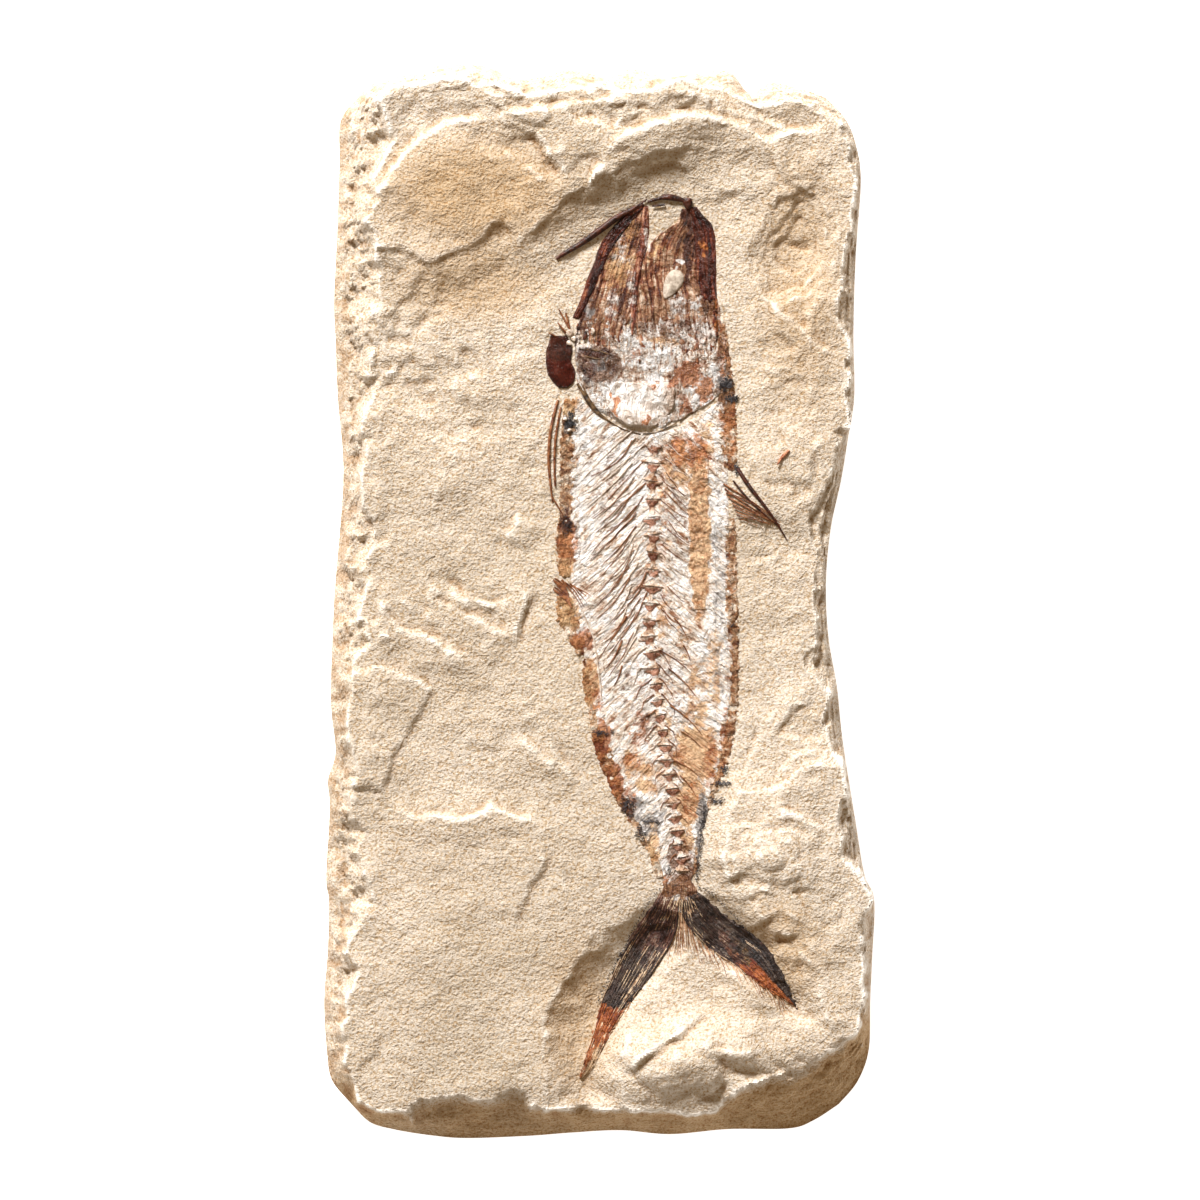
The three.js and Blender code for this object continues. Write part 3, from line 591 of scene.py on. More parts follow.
# %% The grain, and what the stone's colours follow
top_count = (COLUMNS + 1) * (ROWS + 1)
crest_light_and_shade = np.zeros(len(z))
crest_light_and_shade[:top_count] = stand_out(z[:top_count].reshape(ROWS + 1, COLUMNS + 1), 2).ravel()
z += np.where(side_row > 0, 0, grain_height(x, y))
set_points(stone, np.stack([x, y, z], axis=1) * MM)

# painted light and shade: crests of the face are painted lighter as a highlight and hollows darker as shade;
# the bevel and the crumbly left edge are painted darker still and get less of the highlight
left_border = smooth((-58 - x) / 8)
crumbs = smooth(1.4 * rough(x, y, 3.6, 3, seed=51) + 0.7 - to_side / 7) * left_border * (share < 0.95)
bright = np.clip(0.4 + 6 * (share - 0.9), 0.4 * smooth(8 * share), 1)  # little painted highlight on the bevel
crest_light_and_shade = crest_light_and_shade * (1 - 0.5 * left_border) * bright
crest_light_and_shade += (side_row == 0) * (-0.1 * bevel - 0.42 * crumbs)
add_attribute(stone, "crest_light_and_shade", crest_light_and_shade)
add_attribute(stone, "iron_and_shade", iron_stain_and_shade(x, y, share * (side_row == 0), down))
print("stone height", round(float(z.max()), 2), "mm")

# %% [markdown]
# Every finished piece needs the same few things: edges that are soft up to an angle and sharp past it, its
# finish, the body that it rides on, and the nodes of the frame that it stands for.

# %% Finish a piece
def attach(piece, slot, nodes=(), finish=None, angle=60):
    """Smooth shading up to an angle in degrees, the finish, and what the frame has to know."""
    start_clean()
    piece.select_set(True)
    bpy.context.view_layer.objects.active = piece
    bpy.ops.object.shade_smooth_by_angle(angle=math.radians(angle))
    if finish:
        piece.data.materials.append(finish)
    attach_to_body(piece, "root")
    if nodes:
        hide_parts(*nodes)


attach(stone, "limestone", ["stone_slab"], angle=32)
print("stone finished:", stone.name)

# %% [markdown]
# ## Finishes
# One helper adds a shader node with its settings and its links, so a finish reads as a list of steps. The
# scale of a pattern is a thousand over its size in millimetres, because the shader works in metres.

# %% The node helper
PER_MM = 1000.0


def new_material(name):
    material = bpy.data.materials.new(name)
    material.use_nodes = True
    tree = material.node_tree
    tree.nodes.clear()
    return material, tree


def add(tree, kind, settings=None, **links):
    """Adds a node. A setting is a property of it; a link is a socket's value, or another socket to join."""
    node = tree.nodes.new("ShaderNode" + kind)
    for key, value in (settings or {}).items():
        setattr(node, key, value)
    for key, value in links.items():
        name = key.replace("_", " ")
        socket = node.inputs[int(key[1:])] if key[0] == "i" and key[1:].isdigit() else node.inputs[name]
        if isinstance(value, bpy.types.NodeSocket):
            tree.links.new(value, socket)
        else:
            socket.default_value = value
    return node


def set_ramp(node, stops):
    """Sets a colour ramp to (position, colour) stops."""
    elements = node.color_ramp.elements
    while len(elements) < len(stops):
        elements.new(0.5)
    for element, (position, hex_colour) in zip(elements, stops):
        element.position, element.color = position, linear(hex_colour)


# %% [markdown]
# Limestone is lime mud turned to stone, and this face was split, not cut. Its broken grains send light every
# way, so it is matt. Three things colour it: a broad drift of cream, the grains with dark specks, painted
# white on their tops and darker in their pits, and iron stain mixed with painted shade. Edges and lumps that
# stand out get a painted white highlight, and hollows, the bevel and the crumbly left edge a painted brown
# shade.

# %% Limestone
TIMES, TIMES_PLUS = {"operation": "MULTIPLY"}, {"operation": "MULTIPLY_ADD"}
OVER, TINTED = {"data_type": "RGBA"}, {"data_type": "RGBA", "blend_type": "MULTIPLY"}


def make_limestone():
    material, tree = new_material("split_limestone")
    where = add(tree, "TexCoord").outputs["Object"]
    broad = add(tree, "TexNoise", Vector=where, Scale=PER_MM / 55.6, Detail=5.0, Roughness=0.6).outputs["Fac"]
    lumps = add(tree, "TexNoise", Vector=where, Scale=PER_MM / 3.85, Detail=3.0, Roughness=0.6).outputs["Fac"]
    # real grains are under 0.1 mm, too fine to show, so they are drawn at 0.6 to 0.8 mm
    grains = add(tree, "TexNoise", Vector=where, Scale=PER_MM / 0.8, Detail=2.0, Roughness=0.6).outputs["Fac"]
    specks = add(tree, "TexNoise", Vector=where, Scale=PER_MM / 0.588, Detail=1.0, Roughness=0.7).outputs["Fac"]

    cream = add(tree, "ValToRGB", Fac=broad)
    set_ramp(cream, [(0.34, "#cdc3b5"), (0.5, "#d6cdc1"), (0.68, "#ddd6cd")])
    # painted light on the grains: the noise that dents the bump's pits also colours them, darker in the pits as
    # painted shade and white on the tops as painted highlight; the specks are the stone's own
    half = add(tree, "Math", TIMES, i0=grains, i1=0.5).outputs[0]
    both = add(tree, "Math", TIMES_PLUS, i0=specks, i1=0.5, i2=half).outputs[0]
    dark = add(tree, "ValToRGB", Fac=both)
    set_ramp(dark, [(0.36, "#cdb492"), (0.46, "#f0e6d6"), (0.53, "#ffffff")])
    clean = add(tree, "Mix", TINTED, i0=0.95, i6=cream.outputs["Color"], i7=dark.outputs["Color"]).outputs[2]

    # the iron stain and the painted shade of the hollows, the recess and the foot yellow the stone together
    iron_and_shade = add(tree, "Attribute", {"attribute_name": "iron_and_shade"}).outputs["Fac"]
    uneven = add(tree, "Math", TIMES_PLUS, i0=broad, i1=1.4, i2=0.3).outputs[0]
    patch = add(tree, "Math", TIMES, i0=iron_and_shade, i1=uneven).outputs[0]
    stain_and_shade = add(tree, "Mix", TINTED, i0=patch, i6=clean, i7=linear("#e6cfae")).outputs[2]

    # painted light: crests and the tops of the bump's lumps are painted near white as a highlight; hollows, the
    # bevel and the crumbly left edge are painted brown as shade
    crest_light_and_shade = add(tree, "Attribute", {"attribute_name": "crest_light_and_shade"}).outputs["Fac"]
    height = add(tree, "Math", TIMES_PLUS, i0=lumps, i1=0.5, i2=crest_light_and_shade).outputs[0]
    painted_highlight = add(tree, "MapRange", Value=height, From_Min=0.37, From_Max=0.8, To_Max=0.8).outputs[0]
    painted_shade = add(tree, "MapRange", Value=crest_light_and_shade, From_Min=-0.08, From_Max=-0.55, To_Max=0.65).outputs[0]
    colour = add(tree, "Mix", OVER, i0=painted_highlight, i6=stain_and_shade, i7=linear("#fbf6ee")).outputs[2]
    colour = add(tree, "Mix", TINTED, i0=painted_shade, i6=colour, i7=linear("#c7a57c")).outputs[2]

    waves = add(tree, "Bump", Strength=1.0, Distance=0.8 * MM, Height=lumps).outputs["Normal"]
    pits = add(tree, "Bump", Strength=1.0, Distance=0.58 * MM, Height=grains, Normal=waves).outputs["Normal"]
    surface = add(tree, "BsdfPrincipled", Base_Color=colour, Roughness=0.95, Normal=pits)
    surface.inputs["Specular IOR Level"].default_value = 0.25
    add(tree, "OutputMaterial", Surface=surface.outputs["BSDF"])
    return material


stone.data.materials.append(make_limestone())
print("limestone on", stone.name)

# %% [markdown]
# ## The fossil
# What is left of the fish is a film: bone and skin pressed to a fraction of a millimetre. Every piece is
# therefore a sheet laid on the ground, and its colours come in patches where iron, manganese or calcite
# took over. The patches are kept in one list for the whole fish, as ellipses with ragged edges, and every
# sheet reads them, so a rust stain runs on from one bone to the next.

# %% The stains of the whole fish
STAINS = {  # colour: (centre x, y, half sizes x, y, strength), in millimetres
    "rust": [
        (25, 42, 8, 6, 0.62), (29, 20, 2.4, 20, 0.25), (25, 64, 4.4, 4, 0.9), (29.5, 59, 3, 5, 0.75),
        (24, 54, 2.6, 4, 0.6), (21, 60.5, 1.6, 2, 0.7),
        (36, 66, 3, 9, 0.5), (36.5, 48, 3.4, 12, 0.55), (4.5, 55, 1.2, 5, 0.8), (13, 50.5, 2, 1.6, 0.8),
        (-8.5, 17, 4, 7, 0.8), (-5, -11, 4, 4, 0.9), (-1.5, -27, 3, 5, 0.5), (0.8, -40, 3, 8, 0.95),
        (4, -50, 3, 6, 0.95), (8, -57, 3.5, 6, 0.6), (9, -45, 4, 4, 0.5), (11, -36, 4, 6, 0.45),
        (12, -20, 3, 6, 0.3), (22, -43, 4, 3, 0.35), (31, -44, 3, 8, 0.5),
        (26, -56, 3, 8, 0.45), (38, -10, 3, 44, 0.30), (36, -40, 3, 14, 0.5), (29.5, 98.5, 1.6, 2, 0.6),
        (20, -80, 6, 5, 0.4), (-8, 60, 3, 3, 0.5), (15, 60, 3, 1.6, 0.5), (10, 68, 3, 2, 0.4),
        (18, 20, 2, 34, 0.3),
        (20, 101, 2, 5, 0.4), (24, -76, 3, 5, 0.5), (3, 78, 3, 4, 0.3), (34, 80, 2, 8, 0.6),
    ],
    "amber": [
        (28, 19, 3.4, 26, 1.4), (17.6, -6, 2, 9, 0.75), (32, -20, 3.2, 14, 0.5), (27, -28, 5, 14, 0.5),
        (24, -12, 3, 8, 0.35), (27, -42, 7, 10, 0.95), (25, -56, 5, 9, 0.95), (10, -46, 5, 6, 0.6),
        (22, 38, 5, 9, 0.6),
        (14, -50, 6, 6, 0.6), (-9, -3, 4, 6, 1.0), (-2.5, -22, 3, 7, 1.0), (15, -66, 3, 8, 0.7),
        (20, 40, 6, 10, 0.35),
        (5, 95, 5, 11, 0.55), (16, 98, 3, 5, 0.4), (9, 104, 2, 5, 0.6), (30, 44, 4, 9, 0.5),
        (18, -30, 4, 26, 0.35),
        (18, 14, 4, 30, 0.3), (-9, 55, 4, 5, 0.7), (18, 73, 5, 3, 0.5), (24, -66, 3, 8, 0.6),
        (-9.5, 8, 3, 4, 0.8),
    ],
    "brown": [
        (0, 66, 7.5, 6, 0.95), (31, 83, 3.4, 5, 0.9), (28, 79, 5, 6, 0.6), (20, 79, 16, 8, 0.62),
        (2, 80, 9, 8, 0.5), (14, 92, 14, 22, 0.28), (26, 88, 6, 8, 0.5),
        (6, 90, 4, 16, 0.3), (11, 102, 3, 8, 0.5), (20, 98, 3, 9, 0.5), (24, 100, 3, 12, 0.7),
        (24, 84, 6, 6, 0.4),
        (8, 82, 5, 9, 0.45), (-9, 38, 4, 22, 0.38), (-9, 23, 3, 6, 0.6), (-8, 50, 4, 8, 0.3),
        (38, -14, 3, 40, 0.34),
        (34.6, 62, 3, 14, 0.5), (20, 77, 14, 5, 0.32), (2, 74, 8, 5, 0.4), (18, 40, 12, 8, 0.3),
        (22, 28, 3, 26, 0.3),
        (2, 34, 8, 16, 0.26), (23, -74, 5, 10, 0.62), (22, -84, 8, 7, 0.85), (14, -34, 3, 4, 0.5),
        (36.6, 10, 3, 20, 0.3),
        (9, -24, 5, 10, 0.28), (25, -24, 6, 14, 0.3), (10, 60, 12, 3, 0.2), (3, -8, 6, 14, 0.2),
    ],
    "slate": [
        (1, 66, 5, 3.5, 0.45), (-3, 81, 2.2, 4, 0.6), (33.4, 4, 2.2, 36, 0.42), (14, -61, 5, 7, 0.5),
        (35, 61, 3, 3, 0.55), (37.4, 56.4, 2.4, 1.8, 0.5), (-8, 49, 3, 3, 0.5), (18, -26, 5, 9, 0.25),
        (8, 8, 3, 18, 0.2), (10, -58, 4, 5, 0.5), (29, -64, 2, 12, 0.9), (-4, 46, 2, 6, 0.3),
        (16, 55, 3, 2, 0.3),
    ],
    "dark": [
        (3, 99, 2.2, 7, 0.5), (-1.5, 90, 2.0, 9, 0.55), (-5, 80, 1.6, 6, 0.6), (30, 92, 2.2, 8, 0.7),
        (25, 98, 1.7, 11, 0.95), (27.6, 101, 1.4, 7, 0.9), (25, 109, 2.4, 3, 1.0), (10, 86, 1, 9, 0.4),
        (-9.4, 23, 2.4, 4, 0.6),
        (8, -57, 3, 4, 0.6), (-11, 71.5, 6, 4.6, 1.7), (29.6, 84, 3, 4, 0.4), (-1, 69, 6, 1.4, 0.8),
        (-3, 64, 2.5, 4, 0.6),
    ],
    "white": [
        (15, 70, 12, 7, 0.35), (7, 57.5, 4.4, 4.4, 0.9), (15, 55, 4.4, 4, 0.9), (20, 76, 9, 3, 0.4),
        (5.4, 99, 3.4, 6, 0.42), (9.4, 88, 2, 7, 0.36), (4, 82, 3, 6, 0.4), (24, 82, 6, 4, 0.4),
        (29, 75, 5, 5, 0.45),
        (22.6, 93.6, 1.4, 1.2, 1.0), (0, 30, 5, 18, 0.3), (15, 3, 5, 30, 0.4),
        (19, -10, 5, 16, 0.4), (14, -22, 6, 10, 0.5), (18, -50, 3, 10, 0.4), (34.5, 18, 1.2, 26, 0.55),
        (-5.8, 20, 1.6, 30, 0.5), (-3.5, -4, 2, 6, 0.4), (26, 72, 6, 5, 0.3), (13.6, 101, 1.2, 4, 0.6),
        (22, -85.5, 5, 4, 0.5),
    ],
}


def stain_strength(x, y, colour):
    """How strongly a colour shows at each point, 0 to 1; its edges wander."""
    seed = 60 + 5 * list(STAINS).index(colour)
    wx = x + 1.1 * rough(x, y, 3.5, 4, seed)
    wy = y + 1.8 * rough(x, y, 3.5, 4, seed + 2)
    strength = np.zeros(np.shape(x))
    for cx, cy, across, along, most in STAINS[colour]:
        strength = np.maximum(strength, most * np.clip(
            1.35 - 1.2 * (((wx - cx) / across) ** 2 + ((wy - cy) / along) ** 2), 0, 1))
    return strength


print({colour: len(spots) for colour, spots in STAINS.items()})

# %% [markdown]
# The fossil's finishes share one recipe. A base tone runs along the streaks of the bone or the skin, the
# stains come over it wherever their strength beats a fine noise, and the same streaks roughen the surface.

# %% The recipe for the fossil's finishes
STAIN_TONES = {  # from the dark to the light of each colour
    "amber": ("#b98050", "#efc794"), "brown": ("#54301f", "#9c6f4c"), "rust": ("#84401c", "#d08548"),
    "slate": ("#4c4a4c", "#a9a4a2"), "dark": ("#1d0d0a", "#5a2a1c"), "white": ("#e2d6cb", "#ffffff"),
    # bone: the red brown painted as shade over the vertebrae's head-end cups
    "bone": ("#77402a", "#c48361"), "tan": ("#b98a5c", "#ecd3ac"), "red": ("#6a2508", "#cf7433"),
    "black": ("#120d0e", "#453832"),
}


def make_fossil(name, tones, stains, gloss, streaks=0.5, relief=0.6, bright=0.5, bite=0.6, lines=0.5):
    """Tones run from streak to streak; stains may cover them, more raggedly with more bite; relief is in mm."""
    material, tree = new_material(name)
    where = add(tree, "TexCoord").outputs["Object"]
    flow = add(tree, "Attribute", {"attribute_name": "flow"}).outputs["Vector"]
    fibre = add(tree, "TexNoise", Vector=flow, Scale=1.0, Detail=3.0, Roughness=0.6,
                Distortion=0.3).outputs["Fac"]
    fine = add(tree, "TexNoise", Vector=where, Scale=PER_MM / 0.769, Detail=2.0, Roughness=0.7).outputs["Fac"]
    mottle = add(tree, "TexNoise", Vector=where, Scale=PER_MM / 3.03, Detail=5.0, Roughness=0.65,
                 Distortion=0.5).outputs["Fac"]
    broad = add(tree, "TexNoise", Vector=where, Scale=PER_MM / 9.09, Detail=3.0, Roughness=0.6,
                Distortion=0.8).outputs["Fac"]

    mixed = add(tree, "Math", TIMES, i0=fine, i1=0.15).outputs[0]
    for pattern, share in ((mottle, 0.57 - 0.8 * streaks), (fibre, 0.8 * streaks), (broad, 0.28)):
        mixed = add(tree, "Math", TIMES_PLUS, i0=pattern, i1=share, i2=mixed).outputs[0]
    ramp = add(tree, "ValToRGB", Fac=mixed)
    set_ramp(ramp, tones)
    colour = ramp.outputs["Color"]

    start = 1.34 + 0.5 * bite  # the sum of level and noises where a stain starts to cover
    least = -0.1 if bite < 1 else 0.0  # a ragged stain never shows where its level is nought
    for order, stain in enumerate(stains):
        level = add(tree, "Attribute", {"attribute_name": stain}).outputs["Fac"]
        seat = add(tree, "Mapping", Vector=where, Location=(0.37 * order + 0.2, 0.11, 0.05)).outputs["Vector"]
        blot = add(tree, "TexNoise", Vector=seat, Scale=PER_MM / 2.381, Detail=6.0,
                   Roughness=0.75).outputs["Fac"]
        total = add(tree, "Math", TIMES_PLUS, i0=blot, i1=2.2, i2=level).outputs[0]
        total = add(tree, "Math", TIMES_PLUS, i0=fibre, i1=bite, i2=total).outputs[0]
        cover = add(tree, "MapRange", {"interpolation_type": "SMOOTHSTEP"}, Value=total, From_Min=start,
                    From_Max=start + 0.42, To_Max=0.9).outputs[0]
        present = add(tree, "MapRange", Value=level, From_Min=least, From_Max=0.12).outputs[0]
        shown = add(tree, "Math", TIMES, i0=cover, i1=present).outputs[0]
        tone = add(tree, "ValToRGB", Fac=mixed)
        set_ramp(tone, list(zip((0.43, 0.57), STAIN_TONES[stain])))
        colour = add(tree, "Mix", OVER, i0=shown, i6=colour, i7=tone.outputs["Color"]).outputs[2]

    # a hairline runs wherever this noise crosses its middle value
    wisps = add(tree, "TexNoise", Vector=flow, Scale=0.55, Detail=3.0, Roughness=0.55,
                Distortion=1.2).outputs["Fac"]
    offset = add(tree, "Math", {"operation": "SUBTRACT"}, i0=wisps, i1=0.5).outputs[0]
    crossing = add(tree, "Math", {"operation": "ABSOLUTE"}, i0=offset).outputs[0]
    hair = add(tree, "MapRange", Value=crossing, From_Min=0.0, From_Max=0.022, To_Min=lines,
               To_Max=0.0).outputs[0]
    colour = add(tree, "Mix", TINTED, i0=hair, i6=colour, i7=linear("#8a5a3c")).outputs[2]

    normal = add(tree, "Bump", Strength=1.0, Distance=2.0 * relief * MM, Height=fibre).outputs["Normal"]
    for pattern, depth in ((mottle, 3.0), (fine, 0.5)):
        normal = add(tree, "Bump", Strength=1.0, Distance=depth * relief * MM, Height=pattern,
                     Normal=normal).outputs["Normal"]
    surface = add(tree, "BsdfPrincipled", Base_Color=colour, Roughness=gloss, Normal=normal)
    surface.inputs["Specular IOR Level"].default_value = bright
    add(tree, "OutputMaterial", Surface=surface.outputs["BSDF"])
    return material


print(len(STAIN_TONES), "stain colours")

# %% [markdown]
# Fossil bone is calcium phosphate that ground water has filled and stained. Dense bone splits with a glossy
# dark face, thin bone and skin have turned to pale calcite that glints, and carbon is left where the tissue
# was soft. Each finish names what it was, and its roughness says how the face broke.

# %% The finishes of bone, skin and fin
# Flank skin: scales and connective tissue replaced by pale calcite and crumpled, so it glints like foil.
skin_film = make_fossil(
    "calcite_skin_film", [(0.39, "#8a5a3a"), (0.43, "#cdb29b"), (0.48, "#f3e9dd"), (0.53, "#ffffff")],
    ["amber", "rust", "brown", "slate", "white"], 0.36, 0.45, 0.7, 0.6)
# Skull bone: brown phosphate in fibres, with pale calcite left in between, half glossy.
skull_bone = make_fossil(
    "fibrous_skull_bone", [(0.42, "#431609"), (0.475, "#874a2e"), (0.52, "#c08f6c"), (0.57, "#f6dfc8")],
    ["amber", "rust", "brown", "slate", "dark", "white"], 0.38, 0.6, 0.9, 0.45)
# Jaw bone: dense dark red phosphate, which splits with a smooth, slightly shiny face.
jaw_bone = make_fossil(
    "dark_jaw_bone", [(0.44, "#1c0502"), (0.50, "#431209"), (0.56, "#71301b"), (0.63, "#b87a57")],
    ["dark", "rust"], 0.32, 0.6, 0.6, 0.4)
# Median skull bone: the same phosphate in a thin strip, so the pale stone under it warms it to a red brown.
red_bone = make_fossil(
    "red_skull_strip", [(0.42, "#4a1a0e"), (0.49, "#7c3f2a"), (0.55, "#a86c50"), (0.63, "#dcb494")],
    ["dark", "white"], 0.34, 0.6, 0.6, 0.6)
# Bone behind the head: thin, pale and snapped into small plates that glint at different angles.
gill_bone = make_fossil(
    "pale_gill_bone", [(0.40, "#6e3e24"), (0.45, "#bd9a80"), (0.49, "#f0e4d8"), (0.53, "#ffffff")],
    ["white", "amber", "brown", "slate", "dark", "rust"], 0.30, 0.35, 1.1, 0.7)
# Gill cover: larger flakes that keep their smooth, shiny outer face.
gill_flakes = make_fossil(
    "smooth_gill_flakes", [(0.38, "#a07a62"), (0.44, "#cbb7a7"), (0.50, "#e6dacf"), (0.57, "#ffffff")],
    ["white", "amber", "rust"], 0.26, 0.2, 0.5, 0.7, 0.6, 0.3)
# Scale rows along belly and back: bone that iron has turned to rust, granular and dull.
rusty_scales = make_fossil(
    "iron_stained_scales", [(0.41, "#6b3a1f"), (0.46, "#b07c52"), (0.51, "#dcb48e"), (0.56, "#faead6")],
    ["amber", "rust", "brown", "slate", "dark", "white"], 0.55, 0.2, 1.2, 0.4, 0.6, 0.2)
# Tail fin: a black film of carbon and manganese over fine bony rays, with a soft shine.
fin_film = make_fossil(
    "carbon_fin_film", [(0.40, "#2a120f"), (0.47, "#573228"), (0.53, "#936c58"), (0.60, "#f0e0cc")],
    ["tan", "red", "black"], 0.45, 0.7, 0.6, 0.5, 1.5, 0.3)
# Pectoral plate: the densest bone of all, worn as smooth as glaze.
maroon_bone = make_fossil(
    "glossy_pectoral_bone", [(0.36, "#1b0402"), (0.5, "#45110a"), (0.66, "#7e3420")],
    ["dark"], 0.2, 0.4, 0.22, 0.45)
# Vertebrae: pale spongy bone, half glossy, with red brown painted over the cup at the head end as the shade in
# its hollow.
vertebra_bone = make_fossil(
    "vertebra_bone", [(0.40, "#94623f"), (0.47, "#d3b397"), (0.53, "#f6ebe0"), (0.6, "#ffffff")],
    ["bone"], 0.35, 0.1, lines=0.3)
print("fossil finishes made")

# %% [markdown]
# A sheet is a grid stretched between its left and right edges, row by row, and laid on the ground. Its
# border is drawn down under the stone's grain, unevenly, so it ends in the ragged line that worn bone has.
# Each point also remembers its place along and across the fibres.

# %% Sheets laid on the ground
CELL, SUNK, ROOT = 0.4, 0.4, 1.2  # grid step; how far the border goes under the ground, and the sheet's back
STATIONS = 300  # points along a sheet's edges


def add_flow(piece, along, across):
    """Keeps each point's place along and across the fibres, for the finish to read."""
    layer = piece.data.attributes.new("flow", "FLOAT_VECTOR", "POINT")
    layer.data.foreach_set("vector", np.stack([along, across, np.zeros_like(along)], axis=1).ravel())


def lay_sheet(name, slot, finish, rows, thickness=0.6, lift=0.0, edge=1.3, ragged=1.0, relief=None, fibres=None,
              grain=(0.9, 0.12), cell=CELL, seed=0, stains=(), tear=3.4, frayed=(0, 0), zones=None):
    """Rows are (left x, left y, right x, right y, sag); relief and fibres are functions of x, y, u and v."""
    rows = np.array([row if len(row) == 5 else (*row, 0) for row in rows], float)
    path = curve_through(rows, STATIONS)
    length = np.hypot(*np.diff((path[:, :2] + path[:, 2:4]) / 2, axis=0).T).sum()
    widths = np.hypot(path[:, 2] - path[:, 0], path[:, 3] - path[:, 1])
    piece = add_grid(name + "_detail", max(4, int(widths.max() / cell)), max(4, int(length / cell)))
    select_border()
    bpy.ops.mesh.extrude_edges_move(TRANSFORM_OT_translate={"value": (0, 0, -1)})
    bpy.ops.mesh.edge_face_add()
    bpy.ops.object.mode_set(mode="OBJECT")

    square = get_points(piece)
    u, v, under = square[:, 0], square[:, 1], square[:, 2] < -0.5
    lx, ly, rx, ry, sag = (np.interp(v, np.linspace(0, 1, STATIONS), path[:, k]) for k in range(5))
    x = lx + (rx - lx) * u
    y = ly + (ry - ly) * u - 4 * sag * u * (1 - u)
    width = np.hypot(rx - lx, ry - ly)
    inward = np.minimum(width * np.minimum(u, 1 - u), length * np.minimum(v, 1 - v))
    worn = ragged * (0.45 + 0.6 * rough(x, y, tear, 4, seed + 70))
    for reach, place in zip(frayed, (v, 1 - v)):
        if reach:
            wisps = smooth(0.5 + 1.3 * rough(x / 1.7, y / 9, 1, 3, seed + 71))
            worn += reach * np.maximum(0, 1 - length * place / reach) * wisps
    cover = smooth((inward - worn) / edge)
    height = lift + (thickness + SUNK) * cover - SUNK
    if relief is not None:
        height += cover * relief(x, y, u, v)
    z = ground(x, y) + np.where(under, -ROOT, height)
    set_points(piece, np.stack([x, y, z], axis=1) * MM)

    along, across = fibres(x, y, u, v) if fibres else (length * v, width * (u - 0.5))
    add_flow(piece, along * grain[0], across / grain[1])
    for colour in stains:
        add_attribute(piece, colour, zones(colour, x, y, u, v) if zones else stain_strength(x, y, colour))
    attach(piece, slot, [name], finish)


def strip_rows(stations):
    """Rows across a strip from its middle line: each station is (x, y, width)."""
    line = np.array(stations, float)
    run = np.gradient(line[:, :2], axis=0)
    run /= np.hypot(*run.T)[:, None]
    side = np.stack([run[:, 1], -run[:, 0]], axis=1) * line[:, 2:] / 2 * 1.25  # wider, for what wears away
    return [(*(p + s), *(p - s)) for p, s in zip(line[:, :2], side)]


print("sheets are laid on a grid of", CELL, "mm or less")

# %% [markdown]
# Ribs, fin rays, spines and the needles of the dendrites are rods. Each is a curve with a round section that
# thins towards the tip, with filled ends, because a curve keeps its section while it bends. All the rods of
# one kind are one curve object, turned to one mesh.

# %% Rods laid on the ground
def lay_rods(name, nodes, slot, finish, rods, sides=3, points=7):
    """Each rod is a list of (x, y, radius, lift) stations; the joined mesh holds them all."""
    start_clean()
    bpy.ops.curve.primitive_nurbs_path_add()
    curve = bpy.context.object
    curve.data.splines.clear()
    curve.data.bevel_depth = MM
    curve.data.bevel_resolution = sides - 2
    curve.data.use_fill_caps = True
    for rod in rods:
        x, y, radius, lift = curve_through(rod, max(points, len(rod))).T
        spline = curve.data.splines.new("POLY")
        spline.points.add(len(x) - 1)
        z = ground(x, y) + lift
        spline.points.foreach_set("co", np.stack([x * MM, y * MM, z * MM, np.ones_like(x)], axis=1).ravel())
        spline.points.foreach_set("radius", np.maximum(radius, 0.02))
    bpy.ops.object.convert(target="MESH")
    piece = bpy.context.object
    piece.name = piece.data.name = name + "_detail"
    place = get_points(piece) / MM
    add_flow(piece, place[:, 1] * 0.5, place[:, 0] * 3)
    attach(piece, slot, nodes, finish)
    print(piece.name, "has", len(rods), "rods")


def waved(x0, y0, x1, y1, thick, thin, bow=0.0, lift=(0.8, 0.6), wobble=0.0, seed=0):
    """A slightly bent rod from one place to another: five stations, thick at the start, thin at the end."""
    t = np.linspace(0, 1, 5)
    dx, dy = x1 - x0, y1 - y0
    reach = math.hypot(dx, dy)
    aside = bow * 4 * t * (1 - t) * reach + wobble * noise(t * 3 + seed * 1.7, seed * 0.9 + 0 * t, 1, 81)
    return [(x0 + dx * s - dy / reach * a, y0 + dy * s + dx / reach * a, thick + (thin - thick) * s,
             lift[0] + (lift[1] - lift[0]) * s) for s, a in zip(t, aside)]


# %% [markdown]
# Rods are too thin to show more than two tones, so they share a simpler recipe: a mottle from dark to light,
# which also roughens the surface.

# %% The finishes of small bones and needles
def plain_finish(name, dark, light, gloss=0.5, bright=0.4):
    material, tree = new_material(name)
    where = add(tree, "TexCoord").outputs["Object"]
    mottle = add(tree, "TexNoise", Vector=where, Scale=PER_MM / 1.43, Detail=4.0, Roughness=0.7).outputs["Fac"]
    ramp = add(tree, "ValToRGB", Fac=mottle)
    set_ramp(ramp, [(0.4, dark), (0.6, light)])
    normal = add(tree, "Bump", Strength=1.0, Distance=0.4 * MM, Height=mottle).outputs["Normal"]
    surface = add(tree, "BsdfPrincipled", Base_Color=ramp.outputs["Color"], Roughness=gloss, Normal=normal)
    surface.inputs["Specular IOR Level"].default_value = bright
    add(tree, "OutputMaterial", Surface=surface.outputs["BSDF"])
    return material


# Ribs and fin rays: slim rods of brown phosphate, half glossy where they split.
brown_rods = plain_finish("brown_rib_bone", "#582b19", "#a06a45", 0.4)
